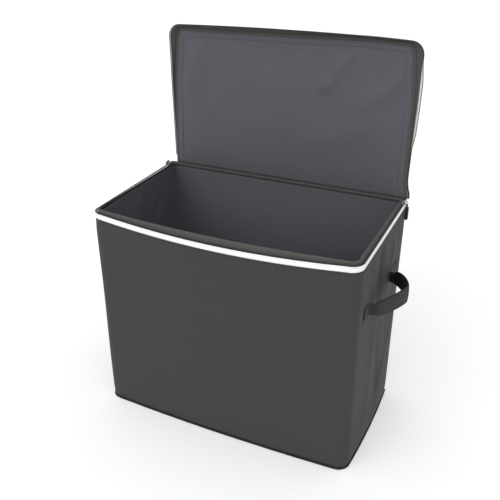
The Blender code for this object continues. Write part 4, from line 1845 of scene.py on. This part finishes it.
    def flap(self) -> None:
        """Build the flap that joins the lid's rear edge to the fold."""
        hinge, form = self.hinge, self.form
        face_y = form.rim_depth / 2 + form.gap + form.cover
        columns = []
        for x in spread(self.flap_half_width, -self.flap_half_width, 60):
            column = []
            for height in spread(hinge.axis_z + hinge.fold_radius, self.cover_top, 8):
                puff = 0.0003 * ripple(Vector((x, height, 0)), 0.03, 5.0)
                column.append(hinge.open_lid(Vector((x, face_y + puff, height))))
            columns.append(column)
        cut_cloth("lid_flap_cloth", columns, OXFORD_SHELL, form.cover, "lid", "outer_fabric", "lid_flap")

    def stitches(self) -> None:
        """Sew the cover and the border."""
        stations = self.form.mouth(self.seam_ends)
        height = self.cover_top + 0.0003
        line = [self.place(station, height, self.cover_seam_inset) for station in stations]
        rear = [self.settle(Vector((x, self.rear_y - 0.004, height))) for x in spread(0.19, -0.19, 90)]
        lines = [(line, [self.out] * len(line)), (rear, [self.out] * len(rear))]
        fit(stitched("lid_cover_stitches", lines, BLACK_THREAD), "lid", "outer_fabric")
        line = [self.place(station, self.underside - 0.0006, self.border_seam_inset) for station in stations]
        fit(stitched("lid_border_stitches", [(line, [-self.out] * len(line))], BLACK_THREAD), "lid",
            "outer_fabric")


@dataclass
class ZipPull:
    """Zip slider with its arched bridge, the wire link and the rubber pull tab, on one end of the case."""

    form: CaseForm
    end: End
    from_corner: float = 0.0065
    low: float = -0.00315
    high: float = 0.00455
    inner_high: float = 0.0011
    plate: float = 0.0011
    plate_half: float = 0.0055
    plate_outs: tuple[float, float] = (0.0009, -0.0028)
    plate_edges: tuple[tuple[float, float], ...] = ((0.0, 0.94), (0.12, 1.0), (0.8, 1.0), (1.0, 0.90))
    waist: float = 0.10
    post_outs: tuple[float, float] = (-0.0018, 0.0010)
    post_radius: float = 0.0016
    post_height: float = 0.00045
    arch_half: float = 0.0028
    arch_foot: float = 0.0016
    arch_wire: float = 0.00045
    bar_out: float = 0.0040
    bar_up: float = 0.0007
    link_half: float = 0.0012
    link_length: float = 0.0042
    wire: float = 0.00035
    tab_half: float = 0.00275
    tab_length: float = 0.024
    tab_shoulder: float = 0.004
    neck_half: float = 0.0006
    neck_drop: float = 0.0017
    tab_rims: tuple[tuple[float, float], ...] = (
        (0.0011, -0.0003), (0.0011, -0.00065), (0.0, -0.0004), (0.0, 0.0004), (0.0011, 0.00065),
        (0.0011, 0.0003))
    hub_rings: tuple[tuple[float, float], ...] = (
        (-0.00055, 0.00065), (-0.00055, 0.0014), (-0.0004, 0.0017), (0.0004, 0.0017), (0.00055, 0.0014),
        (0.00055, 0.00065))
    neck_steps: tuple[tuple[float, float, float], ...] = (
        (-0.0012, 0.00055, 0.0011), (-0.0022, 0.0006, 0.0008), (-0.0035, 0.0007, 0.0003))
    inlay_shrink: float = 0.00125
    inlay_half: float = 0.00045

    def turned(self, out: float, along: float, up: float) -> Vector:
        """Find a point of the slider, which follows the rising rim.

        Args:
            out: Distance out of the wall.
            along: Distance towards the hinge.
            up: Distance up from the chain.

        Returns:
            The world place.
        """
        form = self.form
        front_y, rear_y = form.end_wall_ys
        rise = form.rear_chain_height - form.front_chain_height
        share = (rear_y - self.from_corner - front_y) / (rear_y - front_y)
        centre = Vector((self.end.value * form.rim_width / 2, rear_y - self.from_corner,
                         form.front_chain_height + rise * share))
        incline = Matrix.Rotation(math.atan2(rise, rear_y - front_y), 3, "X")
        return centre + incline @ Vector((self.end.value * out, along, up))

    def build(self) -> None:
        """Build the slider, link and tab."""
        self.slider()
        self.link()
        self.tab()

    def add_plate(self, shape: Shape, out: float, high: float) -> None:
        """Add one of the slider's two plates: waisted, with round corners.

        Args:
            shape: Bmesh to add to.
            out: Distance of its near face out of the wall.
            high: Its upper edge above the chain.
        """
        outline = []
        for step in range(28):
            turn = math.tau * step / 28
            along = rounded_wave(math.cos(turn), 0.55)
            rise = rounded_wave(math.sin(turn), 0.45)
            narrowing = 1 - self.waist * (0.5 + 0.5 * math.cos(math.pi * along))
            outline.append((along * self.plate_half, lerp(self.low, high, 0.5 + 0.5 * rise * narrowing)))
        middle = (self.low + high) / 2
        stacked(shape, [[self.turned(out + depth * self.plate, along * shrink, lerp(middle, up, shrink))
                         for along, up in outline] for depth, shrink in self.plate_edges])

    def slider(self) -> None:
        """Build the die-cast body: outer and inner plate, the post between them and the bridge."""
        shape = bmesh.new()
        for out, high in zip(self.plate_outs, (self.high, self.inner_high)):
            self.add_plate(shape, out, high)
        post = [self.turned(out, 0.0, self.post_height) for out in self.post_outs]
        swept_shape(post, [ring_sides(self.post_radius, 12, 0.375)], shape=shape)
        arch = []
        for turn in spread(0, math.pi, 16):
            out = lerp(self.arch_foot, self.bar_out, max(math.sin(turn), 0.0) ** 0.6)
            arch.append(self.turned(out, -math.cos(turn) * self.arch_half, self.bar_up))
        swept_shape(arch, [ring_sides(self.arch_wire, 8)], shape=shape)
        bmesh.ops.recalc_face_normals(shape, faces=shape.faces)
        piece = mesh_object(self.end.title + "_slider_casting", shape, SLIDER_METAL)
        fit(piece, self.end.title + "_slider", "slider_metal", self.end.title + "_slider")

    def link(self) -> None:
        """Build the wire link that hangs from the bridge."""
        top = self.turned(self.bar_out, 0.0, self.bar_up)
        path = []
        for step in range(40):
            turn = math.tau * step / 40
            across = rounded_wave(math.cos(turn), 0.5) * self.link_half
            rise = 0.5 + 0.5 * rounded_wave(math.sin(turn), 0.5)
            path.append(top + Vector((across, 0, lerp(-self.link_length, self.link_half, rise))))
        shape = swept_shape(path, [ring_sides(self.wire, 8)], closed=True, upright=REARWARD)
        piece = mesh_object(self.end.title + "_link_wire", shape, SLIDER_METAL)
        fit(piece, self.end.title + "_pull_link", "slider_metal", self.end.title + "_pull_link")

    def tongue(self, shrink: float) -> Section:
        """Draw the outline of the tab's tongue.

        Args:
            shrink: Distance that the outline is drawn in.

        Returns:
            Points out and up from the eye's centre.
        """
        width, shoulder = self.tab_half - shrink, self.tab_shoulder + shrink * 0.6
        low = self.tab_half - self.tab_length
        points = [(-self.neck_half, -self.neck_drop - shrink), (-width, -shoulder)]
        for turn in spread(math.pi, math.tau, 12):
            points.append((width * math.cos(turn), low + width * math.sin(turn)))
        return points + [(width, -shoulder), (self.neck_half, -self.neck_drop - shrink)]

    def tab(self) -> None:
        """Build the moulded tab: an eye, a tongue with a raised edge and a black inlay."""
        eye = self.turned(self.bar_out, 0.0, self.bar_up) - UP * self.link_length
        shape = bmesh.new()
        stacked(shape, [[eye + Vector((out, depth, up)) for out, up in self.tongue(shrink)]
                        for shrink, depth in self.tab_rims])
        stacked(shape, [[eye + Vector((across, out, up)) for out, up in ring_sides(radius, 20)]
                        for across, radius in self.hub_rings], capped=False)
        neck = [eye + UP * up for up, _, _ in self.neck_steps]
        sections = [[(-out, -depth), (out, -depth), (out, depth), (-out, depth)]
                    for _, out, depth in self.neck_steps]
        swept_shape(neck, sections, upright=REARWARD, shape=shape)
        bmesh.ops.recalc_face_normals(shape, faces=shape.faces)
        piece = mesh_object(self.end.title + "_pull_tab_moulding", shape, PULL_RUBBER)
        fit(piece, self.end.title + "_pull_tab", "pull_rubber", self.end.title + "_pull_tab")
        shape = bmesh.new()
        stacked(shape, [[eye + Vector((out, depth, up)) for out, up in self.tongue(self.inlay_shrink)]
                        for depth in (-self.inlay_half, self.inlay_half)])
        bmesh.ops.recalc_face_normals(shape, faces=shape.faces)
        piece = mesh_object(self.end.title + "_pull_tab_inlay", shape, PULL_RUBBER_DARK)
        fit(piece, self.end.title + "_pull_tab", "pull_rubber")


@dataclass
class StrapHandle:
    """Strap handle on one end: two sewn anchors and a loop, cloth outside and webbing inside."""

    form: CaseForm
    end: End
    centre_y: float = -0.012
    height: float = 0.2495
    stand: float = 0.007
    half_span: float = 0.049
    reach: float = 0.0332
    straight: float = 0.004
    start_outs: tuple[float, ...] = (-0.003, -0.0012, 0.0006, 0.0022)
    swung_out: float = 0.047
    rise: float = 0.0065
    bend: float = 1.5
    width: float = 0.026
    neck: float = 0.020
    tip: float = 0.013
    dish: float = 0.0012
    ply: float = 0.001
    patch: float = 0.0015
    patch_length: float = 0.019
    rear_patch_length: float = 0.042
    patch_height: float = 0.017
    patch_turn: float = 0.003
    patch_reach: float = 0.011
    box_margin: float = 0.002
    box_length: float = 0.0125

    def half_width(self, share: float) -> float:
        """Give half the width of the strap.

        Args:
            share: Share of the reach, from 0 at the wall side.

        Returns:
            The half width.
        """
        neck_share = self.straight / self.reach
        if share < neck_share:
            return lerp(self.tip, self.neck, max(share, 0.0) / neck_share) / 2
        return lerp(self.neck, self.width, ((share - neck_share) / (1 - neck_share)) ** 0.6) / 2

    def route(self) -> Section:
        """Draw the path of the strap.

        Returns:
            Points out and along from the line that the loop swings on.
        """
        start = [(out, -self.half_span) for out in self.start_outs]
        path = []
        for step in range(45):
            angle = math.pi * step / 44
            along = -rounded_wave(math.cos(angle), self.bend)
            out = math.sin(angle) ** self.bend if 0 < step < 44 else 0.0
            path.append((lerp(self.straight, self.reach, out), self.half_span * along))
        return start + path + [(out, -along) for out, along in reversed(start)]

    def on_wall(self, out: float) -> Vector:
        """Place at the strap's middle height and depth, a distance out of the wall."""
        wall = self.form.place((self.end.wall, self.form.side_share_at(self.centre_y)), self.height)
        return Vector((wall.x + self.end.value * out, self.centre_y, self.height))

    def ply_columns(self, shift: float) -> list[Column]:
        """Lay the columns of one ply of the loop.

        Args:
            shift: Distance of the ply outwards from the strap's middle.

        Returns:
            The columns of points across the ply.
        """
        pivot = self.on_wall(self.stand)
        path = self.route()
        columns = []
        for index, (out, along) in enumerate(path):
            before, after = path[max(index - 1, 0)], path[min(index + 1, len(path) - 1)]
            run = Vector((after[0] - before[0], after[1] - before[1])).normalized()
            share = max(out / self.reach, 0.0)
            half = self.half_width(share)
            column = []
            for row in spread(-1, 1, 10):
                off = shift - self.dish * row * row * ease(share)
                column.append(pivot + Vector((self.end.value * (out + run.y * off), along - run.x * off,
                                              self.rise * share + row * half)))
            columns.append(column)
        return columns if self.end is End.RIGHT else columns[::-1]

    def build(self) -> None:
        """Build the loop, its stitches and both anchors."""
        title, body = self.end.title, self.end.title + "_handle_grip"
        outer = mesh_object(title + "_strap_outer_ply", grid_shape(self.ply_columns(self.ply)), TRIM_CLOTH)
        thicken(outer, self.ply - 0.0001)
        self.flex(outer, body)
        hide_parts(body)
        inner = mesh_object(title + "_strap_inner_ply", grid_shape(self.ply_columns(0.0)), STRAP_WEBBING)
        thicken(inner, self.ply)
        self.flex(inner, body)
        columns = self.ply_columns(self.ply + 0.00005)
        lines = []
        for row in (1, 9):
            points = [column[row] for column in columns[4:-4]]
            runs = [after - before for before, after in zip(points[:1] + points, points[1:] + points[-1:])]
            lines.append((points, [run.cross(UP).normalized() for run in runs]))
        self.flex(stitched(title + "_strap_stitches", lines, BLACK_THREAD), body)
        self.anchor("front", -1, self.patch_length)
        self.anchor("rear", 1, self.rear_patch_length)

    def flex(self, piece: Piece, body: str) -> None:
        """Bake a piece of the loop's place into its mesh; the places of its still ends and its swung middle
        are worked out but not used.

        Args:
            piece: The piece, in place.
            body: The body that its middle would follow; not used.
        """
        still, swung = (self.on_wall(self.stand + out) for out in (self.start_outs[0], self.swung_out))
        tuple(still)
        tuple(swung)
        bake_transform(piece)
        log.info("%s bends between case and %s", piece.name, body)

    def wall_x(self, y: float) -> float:
        """Distance out of the case's middle at which the patch's middle lies on the wall."""
        form, low = self.form, self.height - self.patch_height / 2
        return abs(form.place((self.end.wall, form.side_share_at(y)), low).x) + form.gap + self.patch / 2

    def anchor(self, end_title: str, sign: int, length: float) -> None:
        """Build one sewn end: a patch on the wall that turns out beside the strap, sewn with a crossed box.

        Args:
            end_title: The word front or rear, for the names.
            sign: -1 for the front, 1 for the rear.
            length: Length of the patch on the wall.
        """
        side = self.end.value
        ply = self.half_span + 0.001 + self.form.gap + self.patch / 2
        flat = ply + length
        path = [(along, 0.0, self.patch_height) for along in spread(flat, ply + self.patch_turn, 16)]
        for turn in spread(0, math.pi / 2, 5)[1:]:
            path.append((ply + self.patch_turn * (1 - math.sin(turn)), self.patch_turn * (1 - math.cos(turn)),
                         self.patch_height))
        for out in spread(0.0042, self.patch_reach, 6):
            path.append((ply, out, lerp(self.patch_height, self.tip, ease((out - 0.006) / 0.005))))
        columns = []
        for along, out, width in path:
            y = self.centre_y + sign * along
            x = side * (self.wall_x(y) + out)
            columns.append([Vector((x, y, self.height + row * width / 2)) for row in spread(-1, 1, 8)])
        title = f"{self.end.title}_{end_title}_anchor"
        piece = mesh_object(title + "_patch", grid_shape(columns[::-sign * side]), TRIM_CLOTH)
        thicken(piece, self.patch, 0.0)
        soften(piece, 0.0004)
        fit(piece, "case", "webbing", f"{self.end.title}_handle_{end_title}_anchor")
        far, half_box = flat - self.box_margin, self.patch_height / 2 - self.box_margin
        near, low, high = far - self.box_length, self.height - half_box, self.height + half_box
        corners = {"a": (far, low), "b": (near, low), "c": (near, high), "d": (far, high)}
        lines = []
        for first, last in ("ab", "bc", "cd", "da", "ac", "bd"):
            points = []
            for share in spread(0, 1, 6):
                along, z = (lerp(*ends, share) for ends in zip(corners[first], corners[last]))
                y = self.centre_y + sign * along
                points.append(Vector((side * (self.wall_x(y) + self.patch / 2), y, z)))
            lines.append((points, [Vector((side, 0, 0))] * len(points)))
        fit(stitched(title + "_stitches", lines, BLACK_THREAD, 0.0024, 0.0008, 0.00032), "case", "webbing")


@dataclass
class Softbox:
    """A broad, soft lamp that stands far away."""

    name: str
    strength: float
    spread_degrees: float
    tilt_degrees: float
    turn_degrees: float

    def build(self) -> None:
        """Hang the lamp."""
        lamp = bpy.data.lights.new(self.name, "SUN")
        lamp.energy = self.strength
        lamp.angle = math.radians(self.spread_degrees)
        made = bpy.data.objects.new(self.name, lamp)
        made.rotation_euler = (math.radians(self.tilt_degrees), 0, math.radians(self.turn_degrees))
        bpy.context.scene.collection.objects.link(made)


@dataclass
class Studio:
    """Floor, light and camera."""

    lens: float = 48.29
    sensor_width: float = 36.0
    azimuth: float = 25.36
    elevation: float = 25.408
    roll: float = 0.48
    position: tuple[float, float, float] = (0.39204, -0.82845, 0.70079)
    clip: tuple[float, float] = (0.05, 60)
    floor_reach: float = 12.0
    room_strength: float = 0.535
    softboxes: tuple[Softbox, ...] = (
        Softbox("overhead_softbox", 0.84, 110, 14, -12),
        Softbox("front_left_softbox", 0.57, 50, 58, -20),
        Softbox("right_softbox", 0.03, 50, 62, 70),
    )

    def build(self) -> None:
        """Build the stage."""
        edge = spread(-self.floor_reach, self.floor_reach, 4)
        grid = [[Vector((x, y, 0.0)) for y in edge] for x in edge]
        mesh_object("studio_floor", grid_shape(grid), BACKGROUND_PAPER)
        self.room()
        for softbox in self.softboxes:
            softbox.build()
        self.camera()

    def room(self) -> None:
        """Light the case evenly from a white room, which the camera sees as plain white."""
        world = bpy.data.worlds.new("white_studio")
        bpy.context.scene.world = world
        world.use_nodes = True
        tree = world.node_tree
        tree.nodes.clear()
        room = add_node(tree, "Background", {"Color": WHITE, "Strength": self.room_strength})
        backdrop = add_node(tree, "Background", {"Color": WHITE, "Strength": 1.0})
        both = add_node(tree, "MixShader", {0: seen_directly(tree), 1: room, 2: backdrop})
        add_node(tree, "OutputWorld", {"Surface": both})

    def camera(self) -> None:
        """Set the camera at the photograph's viewpoint."""
        azimuth, elevation, roll = (math.radians(turn) for turn in (self.azimuth, self.elevation, self.roll))
        forward = Vector((-math.sin(azimuth) * math.cos(elevation), math.cos(azimuth) * math.cos(elevation),
                          -math.sin(elevation)))
        right = Vector((math.cos(azimuth), math.sin(azimuth), 0))
        up = right.cross(forward)
        rolled_right = right * math.cos(roll) + up * math.sin(roll)
        rolled_up = up * math.cos(roll) - right * math.sin(roll)
        data = bpy.data.cameras.new("camera")
        data.lens = self.lens
        data.sensor_width = self.sensor_width
        data.clip_start, data.clip_end = self.clip
        camera = bpy.data.objects.new("camera", data)
        turn = Matrix((rolled_right, rolled_up, -forward)).transposed().to_4x4()
        camera.matrix_world = Matrix.Translation(Vector(self.position)) @ turn
        bpy.context.scene.collection.objects.link(camera)
        bpy.context.scene.camera = camera


def main() -> None:
    """Build the case and its studio."""
    logging.basicConfig(level=logging.INFO, format="%(message)s")
    form = CaseForm()
    hinge = Hinge(form)
    assemblies = [Studio(), Shell(form), Base(form), Interior(form), Rim(form), hinge, Lid(form, hinge)]
    for end in End:
        assemblies += [ZipPull(form, end), StrapHandle(form, end)]
    for assembly in assemblies:
        log.info("building %s", type(assembly).__name__)
        assembly.build()
    bpy.context.scene.view_settings.view_transform = "Standard"


if __name__ == "__main__":
    main()
